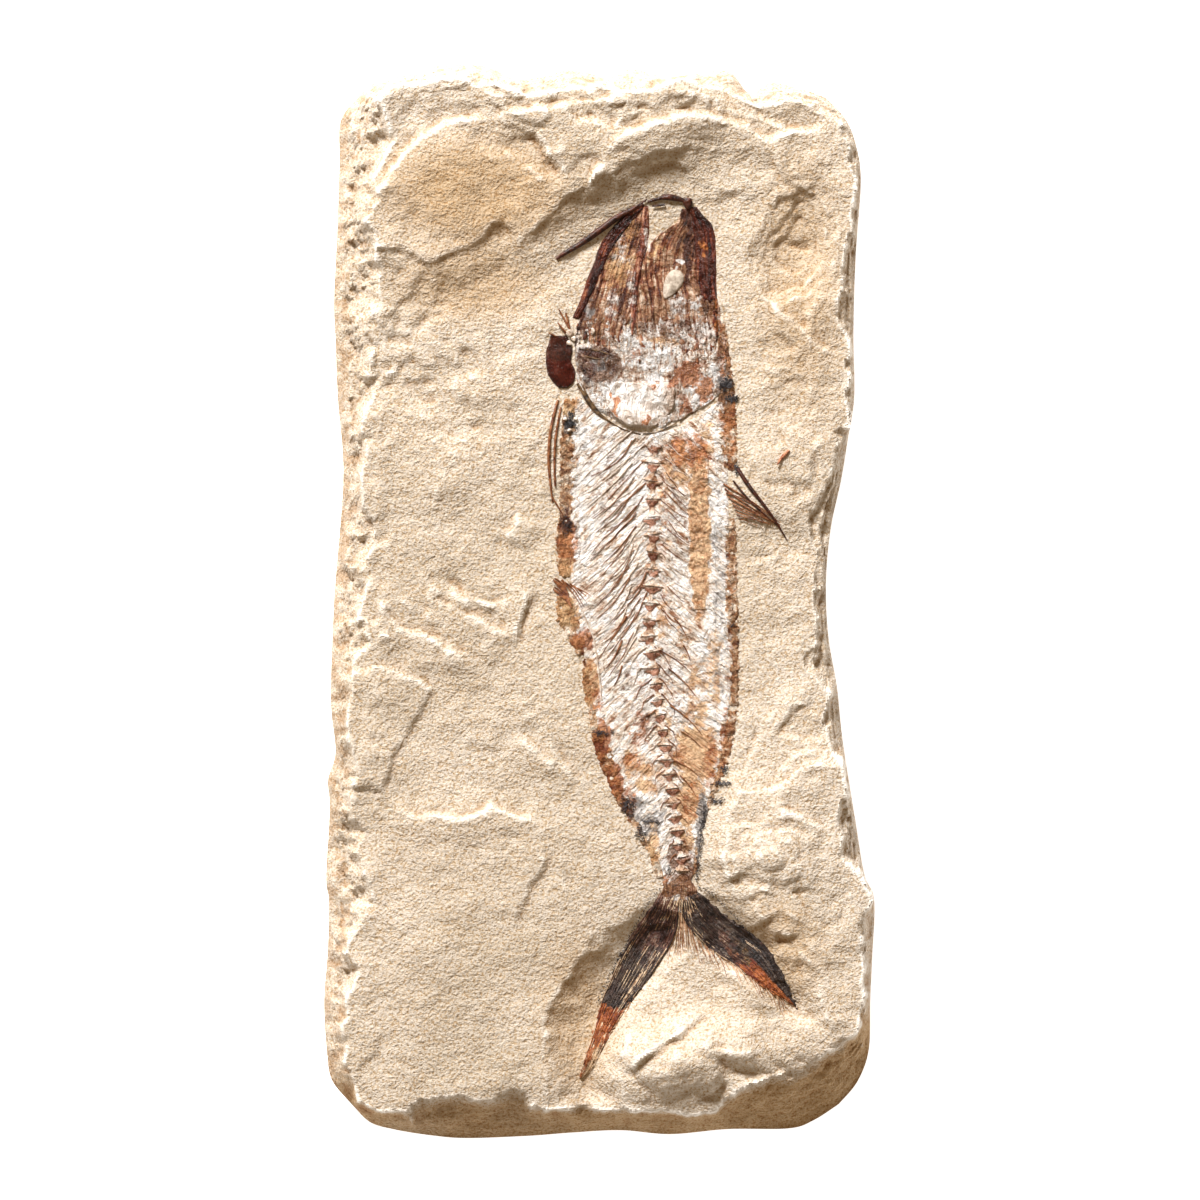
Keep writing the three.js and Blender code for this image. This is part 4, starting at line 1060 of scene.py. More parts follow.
# The same bone, bleached by ground water, a little duller.
ivory_rods = plain_finish("bleached_rib_bone", "#b79f8b", "#f4ebe0", 0.45)
# Spines and jaw rods: denser bone, darker and glossier.
black_rods = plain_finish("dark_ray_bone", "#1c0c08", "#54291a", 0.38)
# Dendrites: needles of black manganese oxide that grew in the stone, dull like soot.
dendrites = plain_finish("manganese_dendrites", "#16161a", "#4a484c", 0.6)
# Fill of the eye socket: fine calcite mud that set hard, matt and grey.
eye_fill = plain_finish("eye_socket_calcite", "#9d8f80", "#cdc1b2", 0.7, 0.3)
# Shoulder girdle: bone with clay in its pores, olive brown.
shoulder_bone = plain_finish("olive_shoulder_bone", "#2b1c0f", "#7a5f40", 0.45)
# Rays of the tail: bone coated with carbon, bone without it, and the red brown frayed ends.
coated_rays = plain_finish("carbon_coated_rays", "#171011", "#4a3630", 0.45)
tan_fin_rays = plain_finish("tan_fin_rays", "#8f6a4c", "#ead2b2", 0.5)
frayed_rays = plain_finish("frayed_fin_rays", "#8a5a40", "#d3ae8c", 0.5)
# The loose fleck: bone that iron has turned red.
red_fleck = plain_finish("red_bone_fleck", "#7d3a22", "#c58a66", 0.5)
print("finishes of the rods made")

# %% [markdown]
# The silvery flank is one sheet from belly to back. Its streaks run as the ribs do, down and outward from
# the backbone, so its fibres and its relief are worked out from the distance to the backbone's line.

# %% The backbone's line, and the flow of the flank
SPINE = [(15, 43.5), (14.8, 22), (15, 8), (14, -8), (16, -24), (18, -39), (20.4, -53), (22, -66), (23.4, -78)]
spine_line = curve_through(SPINE, 400)


def spine_x(y):
    return np.interp(-np.asarray(y, float), -spine_line[:, 1], spine_line[:, 0])


def flank_fibres(x, y, u, v):
    """Along and across the ribs, which run down and outward from the backbone."""
    away = x - spine_x(y)
    slope = np.radians(np.where(away < 0, 42, 40))
    return np.abs(away) * np.cos(slope) - y * np.sin(slope), np.abs(away) * np.sin(slope) + y * np.cos(slope)


def flank_relief(x, y, u, v):
    along, across = flank_fibres(x, y, u, v)
    ribs = np.abs(noise(along / 14, across / 2.0, 1, 91))
    crumple = scallops(x + 0.9 * rough(x, y, 3, 2, 92), y, 3.1, seed=93)
    return 0.13 * rough(along / 6, across / 1.1, 1, 2, 94) - 0.1 * ribs + 0.28 * (crumple - 0.3)


SKIN_STAINS = ("amber", "rust", "brown", "slate", "dark", "white")
FLANK = [
    (-6.6, 58.5, 35.2, 58.5, 11.5), (-7.8, 53, 35.8, 52, 7), (-8.4, 46, 36.4, 45, 3), (-8.6, 37, 36.6, 37),
    (-8.6, 27, 36.8, 28), (-8.8, 17, 36.8, 17), (-8.6, 8, 37, 8), (-8.0, 1, 37.2, 0), (-6.4, -7, 37.6, -7),
    (-5, -14, 38, -14), (-3.6, -21, 38, -21), (-2.4, -28, 37.2, -28), (-0.8, -35, 36.2, -35),
    (1.2, -42, 35, -42), (3.6, -48.5, 33.4, -48.5), (6.2, -54.5, 31.4, -54.5), (9.2, -60.5, 29.8, -60.5),
    (12.8, -66.5, 28.2, -66.5), (16, -72.5, 27.2, -72.5), (18, -80.0, 26.4, -80.0),
]
lay_sheet("flank_skin", "skin", skin_film, FLANK, thickness=0.35, edge=0.8, ragged=0.5,
          relief=flank_relief, fibres=flank_fibres, grain=(0.14, 1.0), cell=0.42, stains=SKIN_STAINS)
print("flank laid")

# %% [markdown]
# The gut left a tan band, and thick scales left a rusty row along belly and back. Each is a narrow sheet
# across a middle line, so a list of middles and widths is enough. Their relief is a mass of small grains.

# %% The gut and the rows of scales along belly and back
def grainy(x, y, u, v):
    return 0.35 * rough(x, y, 1.9, 2, 95) + 0.3 * (scallops(x, y, 2.0, seed=96) - 0.3)


STRIPS = {  # node: slot, lift, stations (x, y, width)
    "gut_trace": ("amber_skin", 0.35, [
        (28, 41.5, 5.0), (27.8, 30, 5.6), (28, 18, 5.8), (27.7, 6, 5.4), (28.2, -3, 5.6)]),
    "belly_strip_front": ("rust_skin", 0.1, [
        (-8.0, 57, 3.4), (-8.2, 47, 4.8), (-8.2, 36, 5.4), (-8.2, 26, 5.6), (-8.4, 17, 7.0),
        (-9.0, 11.0, 5.4), (-9.6, 6.0, 3.4)]),
    "belly_strip_middle": ("amber_skin", 0.1, [
        (-10.6, 2.5, 3.0), (-8.2, -4, 6.8), (-5.4, -10.5, 5.6), (-4.0, -15.5, 3.6)]),
    "belly_strip_rear": ("rust_skin", 0.1, [
        (-3.6, -15, 2.6), (-3, -22, 3.8), (-2, -28, 3.8), (-0.4, -34, 4.6), (1.0, -41, 4.8), (3.2, -47, 4.4),
        (5.4, -53, 4), (8.2, -58.5, 3.4), (11.4, -64, 3.0), (14.8, -70, 3.0), (17.6, -78, 3.0)]),
    "back_strip_front": ("rust_skin", 0.1, [
        (34.4, 78, 2.4), (34.8, 68, 4), (35.6, 57, 5), (36, 46, 5), (36.6, 35.5, 4)]),
    "back_strip_middle": ("rust_skin", 0.1, [
        (36.4, 24, 3.6), (36.6, 10, 4.2), (36.9, 0, 4.2), (37.3, -10, 3.8), (37.6, -20, 3.4),
        (37, -30, 4.0)]),
    "back_strip_rear": ("rust_skin", 0.1, [
        (36.8, -29.5, 4.0), (35.5, -38, 4.4), (33.8, -46, 3.6), (31.8, -52, 3.2), (29.8, -57.5, 2.8),
        (27.9, -66, 2.4), (26.6, -77, 2.0)]),
}
for number, (node, (slot, lift, stations)) in enumerate(STRIPS.items()):
    finish, ragged = (skin_film, 0.3) if node == "gut_trace" else (rusty_scales, 0.9)
    lay_sheet(node, slot, finish, strip_rows(stations), thickness=0.22, lift=0.8 * lift, edge=0.6,
              ragged=ragged, tear=1.1, relief=grainy, grain=(0.7, 0.9), seed=number, stains=SKIN_STAINS)
print(len(STRIPS), "strips laid")

# %% [markdown]
# The skull was crushed flat, so its bones overlap like plates of card. Each is a sheet with its own lift. The
# bones of the face are fibrous along their length, the bone behind the head is crumpled, and the gill cover
# is a stack of smooth flakes. Bones that fade out instead of ending have a frayed end.

# %% Three reliefs of bone
def fibrous(x, y, u, v):
    return 0.22 * rough(u * 14, y / 7, 1, 2, 97) + 0.22 * rough(x, y, 2.3, 3, 98)


def crumpled(x, y, u, v):
    wx, wy = x + 1.5 * rough(x, y, 5, 3, 99), y + 1.5 * rough(x, y, 5, 3, 100)
    return 0.62 * (scallops(wx, wy + 0.6 * wx, 4.6, seed=101) - 0.3) + 0.25 * rough(x, y, 2, 3, 102)


def flaked(x, y, u, v):
    """Smooth flakes that overlap like loose tiles."""
    wx, wy = x + 1.2 * rough(x, y, 5, 2, 109), y + 1.2 * rough(x, y, 5, 2, 110)
    return 1.15 * facets(wx, wy, 6.0, seed=111) + 0.08 * rough(x, y, 2, 2, 112)


# %% The skull
SKULL = {  # node: slot, finish, lift, relief, rows
    "left_cheek": ("brown_bone", skull_bone, 0.0, fibrous, [
        (9.6, 109.4, 13.2, 109.9), (5.2, 103.4, 12.8, 103.6), (2.4, 97.6, 12.2, 98), (0, 92.4, 11.2, 92.4),
        (-2.2, 86.9, 10.6, 86.9), (-4.8, 81.3, 10, 81.3), (-7.4, 75, 9.4, 74.4), (-7.4, 67, 9.0, 65)]),
    "right_cheek": ("brown_bone", skull_bone, 0.0, fibrous, [
        (22.6, 109.8, 26.4, 110.0), (21.0, 105.6, 27.4, 106.4), (16.6, 102.6, 28, 102.6),
        (13.2, 99.0, 28.2, 98.6),
        (11.6, 94.7, 28.8, 95.2), (10.6, 89.7, 30, 89.7), (10, 84.1, 32.8, 84.1), (9.4, 78.5, 34.0, 78.5),
        (8.8, 72.0, 36.0, 72.0), (8.6, 65.0, 35.8, 65.0)]),
    "head_rear_plate": ("pale_bone", gill_bone, 0.08, crumpled, [
        (-6.6, 78, 33.0, 90, 0), (-7.6, 75.5, 33.8, 84, 0), (-8.2, 73.5, 35.0, 79, 0),
        (-7.6, 70.5, 36.2, 72.5, 0), (-7.2, 66.4, 36.4, 67, 0),
        (-7.0, 61.7, 36.0, 61.7, 1.5), (-5.8, 58, 34.6, 58.5, 5), (-4.0, 55.8, 32.6, 57.0, 9.2)]),
    "left_jaw": ("dark_bone", jaw_bone, 0.2, fibrous, [
        (12.0, 110.8, 13.6, 109.5), (7.0, 107.8, 9.6, 105.2), (2.2, 102.6, 5.6, 100.0),
        (-0.4, 98.5, 3.8, 96.7),
        (-1.9, 94.0, 1.8, 92.3), (-3.3, 90.6, 0.1, 89.0), (-5.6, 83.9, -2.6, 83.1),
        (-7.8, 78.7, -5.4, 78.0)]),
    "right_jaw": ("dark_bone", jaw_bone, 0.25, fibrous, [
        (24.6, 109.6, 27.2, 110.4), (25.2, 105.9, 29.3, 107.7), (25.6, 102.7, 31.6, 105.1),
        (26, 99.4, 32.7, 100.6),
        (26.6, 93.8, 33, 93.8), (27.4, 86.6, 33.2, 86.0),
        (29.6, 81.0, 34.0, 80.0), (31.6, 75.6, 34.6, 75.0)]),
    "median_skull_bone": ("brown_bone", red_bone, 0.35, fibrous, strip_rows([
        (12.9, 110.2, 1.5), (12.7, 104.7, 2.3), (12.3, 99.4, 2.3), (11.0, 93.8, 2.2), (10.2, 86.9, 2.1),
        (9.6, 79.9, 2.1), (9.2, 73.5, 1.2)])),
    "gill_cover": ("pale_bone", gill_flakes, 0.15, flaked, [
        (4.4, 62.0, 21, 61.6, 0), (2.0, 58.4, 22, 58, 0.5), (1.2, 55.0, 21.4, 54.4, 2.4),
        (4.0, 51.6, 18.6, 50.6, 3.8)]),
    "dark_cheek_plate": ("brown_bone", gill_bone, 0.12, crumpled, [
        (-6.4, 72.4, 8.0, 71.0), (-6.8, 68.4, 6.6, 67.4), (-5.6, 64.4, 5.0, 63.4), (-3.4, 60.6, 4.0, 60.0),
        (-1.4, 57.6, 3.6, 57.8)]),
}
FRAYED = {  # how many millimetres fray at the first and at the last row
    "head_rear_plate": (16, 0), "left_cheek": (0, 12), "right_cheek": (0, 12), "right_jaw": (0, 10),
    "dark_cheek_plate": (2, 9),
}
for number, (node, (slot, finish, lift, relief, rows)) in enumerate(SKULL.items()):
    ragged = 0.25 if lift >= 0.2 else 0.7  # thick bones have whole edges
    grain = (0.09, 0.9) if relief == fibrous else (0.45, 0.8)
    lay_sheet(node, slot, finish, rows, thickness=0.4, lift=lift, edge=0.8, ragged=ragged, relief=relief,
              frayed=FRAYED.get(node, (0, 0)), grain=grain, cell=0.36, seed=10 + number, stains=SKIN_STAINS)
print(len(SKULL), "skull bones laid")

# %% [markdown]
# The eye socket is filled with a smooth lump of lime mud, and small grains lie by the pectoral plate. A ball
# pressed flat, tapered and roughened by noise gives both.

# %% The eye's filling, the snout's tip and the small grains
def lay_pebble(name, nodes, slot, finish, middle, size, turn, lift):
    """A small closed lump: a ball pressed to the given size, in millimetres, and turned."""
    start_clean()
    bpy.ops.mesh.primitive_uv_sphere_add(segments=40, ring_count=24, radius=0.5)
    piece = bpy.context.object
    piece.name = piece.data.name = name + "_detail"
    ball = get_points(piece)
    taper = 1 + 0.7 * ball[:, 1]
    angle = math.radians(turn)
    px, py = ball[:, 0] * size[0] * taper, ball[:, 1] * size[1]
    x = middle[0] + px * math.cos(angle) - py * math.sin(angle)
    y = middle[1] + px * math.sin(angle) + py * math.cos(angle)
    z = ground(x, y) + lift + ball[:, 2] * size[2] * (1 + 0.25 * rough(x, y, 1.6, 2, 103))
    set_points(piece, np.stack([x, y, z], axis=1) * MM)
    add_flow(piece, px * 0.3, py)
    attach(piece, slot, nodes, finish)


NODULES = [  # centre, width, length, finish
    (-8.0, 74.6, 1.6, 2.2, ivory_rods), (-7.0, 73.0, 1.4, 1.5, ivory_rods), (-8.3, 71.8, 1.2, 1.6, ivory_rods),
    (-3.8, 73.8, 2.6, 1.2, black_rods), (-1.6, 75.2, 1.8, 1.1, ivory_rods), (-7.8, 49.2, 1.5, 1.2, dendrites),
    (-6.4, 50.8, 1.3, 1.0, ivory_rods), (-9.4, 50.8, 1.1, 1.0, ivory_rods), (-8.2, 47.6, 1.4, 0.9, ivory_rods),
]
lay_pebble("eye_socket_fill", ["eye_socket_fill"], "pale_bone", eye_fill, (20.4, 88.2), (4.7, 8.8, 1.3),
           -28, 0.6)
for number, (px, py, across, along, finish) in enumerate(NODULES):
    lay_pebble(f"nodule_{number + 1}", (), "pale_bone", finish, (px, py), (across, along, 0.9),
               25 * number, 0.7)
lay_pebble("snout_tip", ["snout_tip"], "dark_bone", black_rods, (24.8, 110.6), (2.6, 3.6, 1.6), 10, 0.6)
print("eye, snout and", len(NODULES), "grains laid")

# %% [markdown]
# The pectoral plate is the thick bone at the root of the front fin: a low dome with a worn, glossy face.

# %% The pectoral plate
def domed(x, y, u, v):
    dome = 0.7 * smooth(2.2 * np.minimum(u, 1 - u)) * smooth(3 * np.minimum(v, 1 - v))
    return dome + 0.07 * rough(x, y, 3, 3, 104)


lay_sheet("pectoral_plate", "dark_bone", maroon_bone, [
    (-13.6, 74.6, -8.6, 74.2), (-14.8, 70.5, -7.0, 70.4), (-15.1, 67, -7.4, 67), (-14.9, 64, -6.2, 64.4),
    (-13.6, 61.4, -6.4, 61.4), (-11.4, 59.0, -8.6, 59.0)], thickness=0.5, lift=0.1, edge=0.7, ragged=0.3,
          relief=domed, stains=["dark"])
print("pectoral plate laid")

# %% [markdown]
# The slim bones come next: the jaw rod pushed out in front of the snout, the lip, the folded rays of the
# pectoral fin, and the small pelvic fin. Each rod is given by the places where it bends.

# %% The barb, the lip and the slim bones of the front fins
lay_rods("jaw_barb", ["jaw_barb"], "dark_bone", black_rods, [
    [(-11.9, 95.3, 0.4, 0.1), (-9, 97.2, 0.66, 0.15), (-4.5, 99.9, 0.82, 0.2), (0.5, 103.5, 0.95, 0.2),
     (6, 107.4, 0.85, 0.25), (12.4, 110.6, 0.5, 0.4)],
    waved(9.8, 109.5, 13.4, 111.9, 0.3, 0.24)], sides=5, points=14)
lay_rods("lip_bone", ["lip_bone"], "dark_bone", black_rods, [
    [(13.6, 111.2, 0.35, 0.3), (17, 112.2, 0.5, 0.35), (19.5, 112.5, 0.9, 0.4), (22.2, 112.0, 0.75, 0.4),
     (24, 111.4, 0.5, 0.4)],
    waved(14.8, 110, 18.4, 110.4, 0.22, 0.3)], sides=5, points=12)
lay_rods("pectoral_spine_outer", ["pectoral_spine_outer"], "dark_bone", brown_rods, [
    [(-11.4, 56, 0.32, 0.3), (-13.4, 48, 0.4, 0.35), (-14.0, 40, 0.42, 0.35), (-13.7, 34.5, 0.36, 0.3),
     (-12.9, 27.5, 0.2, 0.2)]], points=16)
lay_rods("pectoral_spine_inner", ["pectoral_spine_inner"], "dark_bone", brown_rods, [
    [(-10.6, 54, 0.26, 0.3), (-12, 46, 0.32, 0.35), (-12.4, 39, 0.32, 0.35), (-12.2, 32, 0.25, 0.25)],
    waved(-11.2, 81.3, -8.4, 76.2, 0.2, 0.3), waved(-9.2, 80.2, -8.1, 75.4, 0.3, 0.25),
    waved(-11.5, 77.6, -9.2, 74.6, 0.2, 0.3), waved(-14, 74.6, -12, 73.7, 0.2, 0.25),
    waved(-13, 29, -10, 24, 0.25, 0.12)], points=12)
pelvic_rays = [waved(-10.4 + 0.55 * k, 6.0 - 0.3 * k, -4.6 + 0.32 * k, -2.4 + 0.5 * k + 0.5 * math.sin(3 * k),
                     0.24, 0.08, 0.04, (0.35, 0.3), 0.4, k) for k in range(0, 10, 2)]
pelvic_rays += [waved(-12.3 + 0.5 * math.sin(5 * k), 6.4 - 0.5 * k, -9.2 + 0.2 * k, 3.8 - 0.7 * k,
                      0.16, 0.3, 0.05, (0.2, 0.4)) for k in range(9)]
lay_rods("pelvic_fin", ["pelvic_fin"], "brown_bone", brown_rods, pelvic_rays)

# %% [markdown]
# The shoulder girdle is the curved bone behind the gills. It broke into lengths of different thickness, so
# it is a chain of rods, thickest on the belly side.

# %% The shoulder girdle
lay_rods("shoulder_girdle", ["shoulder_girdle"], "brown_bone", shoulder_bone, [
    [(-5.9, 60.6, 0.4, 0.3), (-3.8, 57.0, 0.65, 0.35), (-1.0, 53.0, 0.6, 0.3), (2.6, 50.2, 0.3, 0.25)],
    [(-4.9, 60.6, 0.2, 0.6), (-2.6, 56.2, 0.25, 0.7), (0.6, 52.0, 0.2, 0.5)],
    [(1.8, 50.8, 0.25, 0.3), (6.4, 48.0, 0.18, 0.3), (11.6, 46.4, 0.2, 0.3)],
    [(12.2, 46.6, 0.14, 0.3), (16.2, 47.0, 0.18, 0.3), (21.6, 49.6, 0.14, 0.3)],
    [(22.4, 50.2, 0.16, 0.3), (26.0, 52.8, 0.16, 0.3), (31.2, 56.2, 0.1, 0.3)],
    waved(-5.6, 70.2, 3.4, 68.4, 0.3, 0.14, 0.06, (0.6, 0.5)),
    waved(-5.0, 68.6, 2.0, 67.4, 0.18, 0.1, -0.05, (0.6, 0.5))], sides=5, points=24)

# %% [markdown]
# A vertebra is an hourglass of bone lying in the skin: two cups joined at a waist. It is a ball whose
# radius is rewritten by its place along the axis, so it stays closed. The 27 follow the backbone, closer
# together towards the tail.

# %% The backbone
VERTEBRAE, FRONT_PITCH, REAR_PITCH = 27, 5.1, 3.7
FIRST_PLACE = 2.5  # along the backbone's line
chance = np.random.default_rng(12)
centres = []
along = FIRST_PLACE
passed = np.concatenate([[0], np.cumsum(np.hypot(*np.diff(spine_line, axis=0).T))])
for k in range(VERTEBRAE):
    share = k / (VERTEBRAE - 1)
    pitch = FRONT_PITCH + (REAR_PITCH - FRONT_PITCH) * share
    cx, cy = (np.interp(along, passed, spine_line[:, axis]) for axis in (0, 1))
    ahead = [np.interp(along + 1, passed, spine_line[:, axis]) for axis in (0, 1)]
    heading = math.atan2(ahead[1] - cy, ahead[0] - cx)
    centres.append((float(cx), float(cy)))
    start_clean()
    bpy.ops.mesh.primitive_uv_sphere_add(segments=20, ring_count=16, radius=1)
    bead = bpy.context.object
    node = f"vertebra_{k + 1:02d}"
    bead.name = bead.data.name = node + "_detail"
    ball = get_points(bead)
    axis = np.clip(ball[:, 2] * 1.25, -1, 1)
    ring = np.hypot(ball[:, 0], ball[:, 1]) + 1e-9
    waist = (0.30 + 0.70 * np.abs(axis) ** 1.3) * np.minimum(1, ring / 0.6)
    heading += chance.uniform(-0.16, 0.16)
    reach = (5.0 - 1.4 * share) / 2 * chance.uniform(0.8, 1.15)
    px, py = axis * (pitch - 0.3) / 2, ball[:, 0] / ring * waist * reach
    lump = 1 + 0.6 * noise(px + 3.1 * k, py, 1.0, 105)
    x = cx + px * math.cos(heading) - lump * py * math.sin(heading)
    y = cy + px * math.sin(heading) + lump * py * math.cos(heading)
    z = ground(x, y) + 0.42 + 0.55 * ball[:, 1] / ring * waist * lump
    set_points(bead, np.stack([x, y, z], axis=1) * MM)
    add_flow(bead, px, py)
    # painted shade: red brown over the cup at the head end, where its hollow would lie in shade, with a pale
    # rim left at the very end
    cup_shade = (0.75 + 0.4 * share) * smooth((0.2 - axis) / 0.5) - 0.5 * smooth((-0.7 - axis) / 0.2)
    add_attribute(bead, "bone", cup_shade + 0.5 * noise(px, py + 9.0 * k, 0.9, 106))
    attach(bead, "dark_bone", [node], vertebra_bone)
    along += pitch
print(len(centres), "vertebrae")

# %% [markdown]
# The ribs fan out from the backbone, down and outward. Some are dark, some bleached, and a few lie loose.
# They are too many for a node each, so each colour is one joined mesh.

# %% Ribs and the spines of the tail vertebrae
dark_ribs, pale_ribs = [], []
for k in range(40):  # left ribs
    y0 = 47.0 - 1.45 * k + chance.uniform(-0.8, 0.8)
    reach = 19 - 0.16 * k + chance.uniform(-4, 2)
    lean = math.radians(41 + 0.45 * k + chance.uniform(-4, 4))
    x0 = float(spine_x(y0)) - chance.uniform(1.0, 7.0)
    x1 = max(x0 - reach * math.cos(lean), -6.5 + 0.13 * k)
    y1 = y0 - reach * math.sin(lean)
    rod = waved(x0, y0, x1, y1, chance.uniform(0.1, 0.18), 0.07, chance.uniform(-0.02, 0.1), (0.5, 0.4), 0.5, k)
    (dark_ribs if chance.random() < 0.5 else pale_ribs).append(rod)
for k in range(26):  # right ribs, short and hidden by the gut
    y0 = 44.0 - 2.0 * k
    x0 = float(spine_x(y0)) + chance.uniform(1.5, 4.5)
    x1, y1 = x0 + chance.uniform(5, 9), y0 - chance.uniform(4.5, 8)
    rod = waved(x0, y0, x1, y1, 0.12, 0.06, -0.05, (0.5, 0.35), 0.6, 50 + k)
    (dark_ribs if chance.random() < 0.4 else pale_ribs).append(rod)
for cx, cy in centres[11:]:  # spines above and below the tail vertebrae
    for hand in (-1, 1):
        reach = 11.5 - 0.09 * (12 - cy)
        x1, y1 = cx + hand * reach * 0.62, cy - reach * 0.75
        rod = waved(cx + hand * 1.0, cy - 0.6, x1, y1, 0.17, 0.08, hand * 0.10, (0.6, 0.35), 0.7, cy)
        (dark_ribs if chance.random() < 0.6 else pale_ribs).append(rod)
LOOSE = [  # the few that stand out: from, to, radius
    (7.8, -4.2, 3.4, -8.9, 0.42), (6.4, -10.9, 2, -18.7, 0.36), (6.4, -17.9, 4.2, -23.5, 0.3),
    (20.9, -4.7, 24.3, -9.8, 0.3), (23.5, -12.3, 25.4, -16.5, 0.28), (16.8, -13.7, 25.4, -19.8, 0.22),
    (19.3, -18.7, 27.9, -27.9, 0.24),
    (19.8, -29, 28.8, -37.4, 0.24), (22.9, -36.3, 28.2, -40.5, 0.22), (21.2, -44.4, 27.9, -48.9, 0.22),
    (22.6, -48.6, 26.8, -53.9, 0.22),
]
dark_ribs += [waved(*ends, 0.8 * radius, 0.1, 0.05, (0.55, 0.4)) for *ends, radius in LOOSE]
lay_rods("dark_ribs", [], "brown_bone", brown_rods, dark_ribs)
pale_ribs.append([
    (-5.0, -2.2, 0.2, 0.45), (-1.6, -10, 0.22, 0.45), (-0.4, -17, 0.22, 0.45), (0.8, -27.7, 0.14, 0.4)])
lay_rods("pale_ribs", [], "pale_bone", ivory_rods, pale_ribs)

# %% [markdown]
# The dorsal fin is a strong leading spine with thin rays behind it, all from one short root on the back.

# %% The dorsal fin
lay_rods("dorsal_spine", ["dorsal_spine"], "dark_bone", black_rods, [
    [(38.6, 37, 0.55, 0.4), (41.5, 32.4, 0.6, 0.4), (45.4, 27.4, 0.45, 0.4), (48.8, 22.8, 0.36, 0.4),
     (52.4, 17.0, 0.14, 0.3)],
    [(37.4, 33.5, 0.25, 0.5), (41.2, 28.8, 0.3, 0.5), (45.5, 24.6, 0.2, 0.4), (50.2, 20.6, 0.1, 0.3)]],
         sides=4, points=18)
rays = []
for k in range(10):
    share = k / 9
    x0, y0 = 34.6 + 4.4 * share, 32.6 - 9.8 * share
    x1, y1 = 50.4 - 4.6 * share ** 2, 21.6 - 0.4 * share + 0.7 * math.sin(4 * k)
    rays.append(waved(x0, y0, x1, y1, 0.26 - 0.12 * share, 0.07, 0.03 * math.cos(3 * k), (0.5, 0.3), 0.5, k))
lay_rods("dorsal_fin_rays", ["dorsal_fin_rays"], "dark_bone", brown_rods, rays)

# %% [markdown]
# The tail fin is the best preserved part: two black lobes of bony rays side by side, red where the carbon
# film has gone, and fraying out to bare rays at the inner edges. A lobe is a sheet whose relief is a row of
# ridges along it, and its colours change by the place along and across the lobe.

# %% The relief and the colours of the tail's lobes
TAIL_STAINS = ("tan", "red", "black")


def rayed(x, y, u, v):
    """Round ridges side by side, one for each ray, and thin cracks across them."""
    rays = np.abs(np.sin(math.pi * (14 * u + 0.5 * noise(v * 9, u * 3, 1, 106))))
    cracks = np.maximum(0, noise(v * 60, u * 5, 1, 107) - 0.35)
    return 0.26 * rays - 0.4 * cracks + 0.12 * rough(x, y, 1.8, 2, 108)


def ray_fibres(x, y, u, v):
    return v * 9, u * 19


def lobe_zones(colour, x, y, u, v):
    """The left lobe: black over its middle, a sharp change to red, and tan at the tip."""
    change = 0.6 + 0.02 * noise(u * 6, 0 * v, 1, 109)
    black = smooth((v - 0.12) / 0.3) * smooth((change - v) / 0.02 + 0.5)
    if colour == "black":
        return black * (0.78 + 0.35 * smooth((v - 0.35) / 0.15) + 0.15 * u)
    if colour == "red":
        return smooth((v - change) / 0.02 + 0.5) * (1.1 - smooth((v - 0.62) / 0.3) * smooth((u - 0.1) / 0.6))
    tip = 0.95 * smooth((v - 0.68) / 0.22) * smooth((u + 0.2) / 0.9)
    return np.maximum(tip, 0.55 * black * smooth(1 - abs(v - 0.42) / 0.14))


def right_zones(colour, x, y, u, v):
    """The right lobe: black along its outer edge, a smooth black patch inside, then red and frayed."""
    outer = smooth((u - 0.42 + 0.8 * smooth((0.56 - v) / 0.06)) / 0.16)
    if colour == "black":
        return outer * (0.95 + 0.35 * smooth(v / 0.3))
    if colour == "red":
        return (1 - outer) * smooth((v - 0.46) / 0.06) * (1.25 - 0.9 * smooth((0.2 - u) / 0.2))
    tip = (1 - outer) * 0.9 * smooth((v - 0.55) / 0.3) * smooth(1 - u / 0.3)
    return tip + 0.4 * smooth(1 - abs(v - 0.2) / 0.1)


print("tail colours:", *TAIL_STAINS)

# %% The tail's root and lobes
TAIL = {  # node: rows
    "tail_root_plate": [(18.2, -76, 26.0, -76), (16.4, -81, 28.2, -81), (12.6, -88, 32.4, -87)],
    "tail_lobe_left": [
        (16.6, -80.6, 22.4, -83.4), (14.0, -84.5, 22.8, -89.5), (9.8, -91, 20.8, -96),
        (5.8, -98, 16.0, -103.4),
        (2.4, -105.6, 12.4, -108.4), (0, -111.6, 8.2, -113.6), (-1.6, -117.6, 4.6, -119.4),
        (-3.6, -124, 1.2, -126),
        (-5.4, -130, -2.0, -131.6), (-6.2, -134, -5.2, -134)],
    "tail_lobe_right": [
        (22.4, -83.4, 27.4, -79.6), (23.0, -89.0, 31.8, -83.4), (27.8, -95.2, 37.2, -88.2),
        (32.0, -98.8, 42.4, -91.6),
        (36.6, -101.6, 47.4, -95.6), (42.4, -106.0, 50.6, -101.0), (48.0, -109.8, 53.4, -106.6),
        (53.2, -112.8, 55.2, -111.4), (55.0, -115, 56.0, -114.6)],
}
ZONES = {"tail_lobe_left": lobe_zones, "tail_lobe_right": right_zones}
for number, (node, rows) in enumerate(TAIL.items()):
    if node in ZONES:
        lay_sheet(node, "black_fin", fin_film, rows, thickness=0.35, lift=0.1, edge=0.8, relief=rayed,
                  fibres=ray_fibres, grain=(0.9, 0.9), cell=0.33, seed=30 + number, stains=TAIL_STAINS,
                  tear=1.8, zones=ZONES[node])
    else:
        lay_sheet(node, "brown_bone", skull_bone, rows, thickness=0.35, lift=0.1, edge=0.8, relief=crumpled,
                  grain=(0.28, 0.5), cell=0.33, seed=30 + number, stains=SKIN_STAINS, tear=1.8)
print("tail laid:", *TAIL)

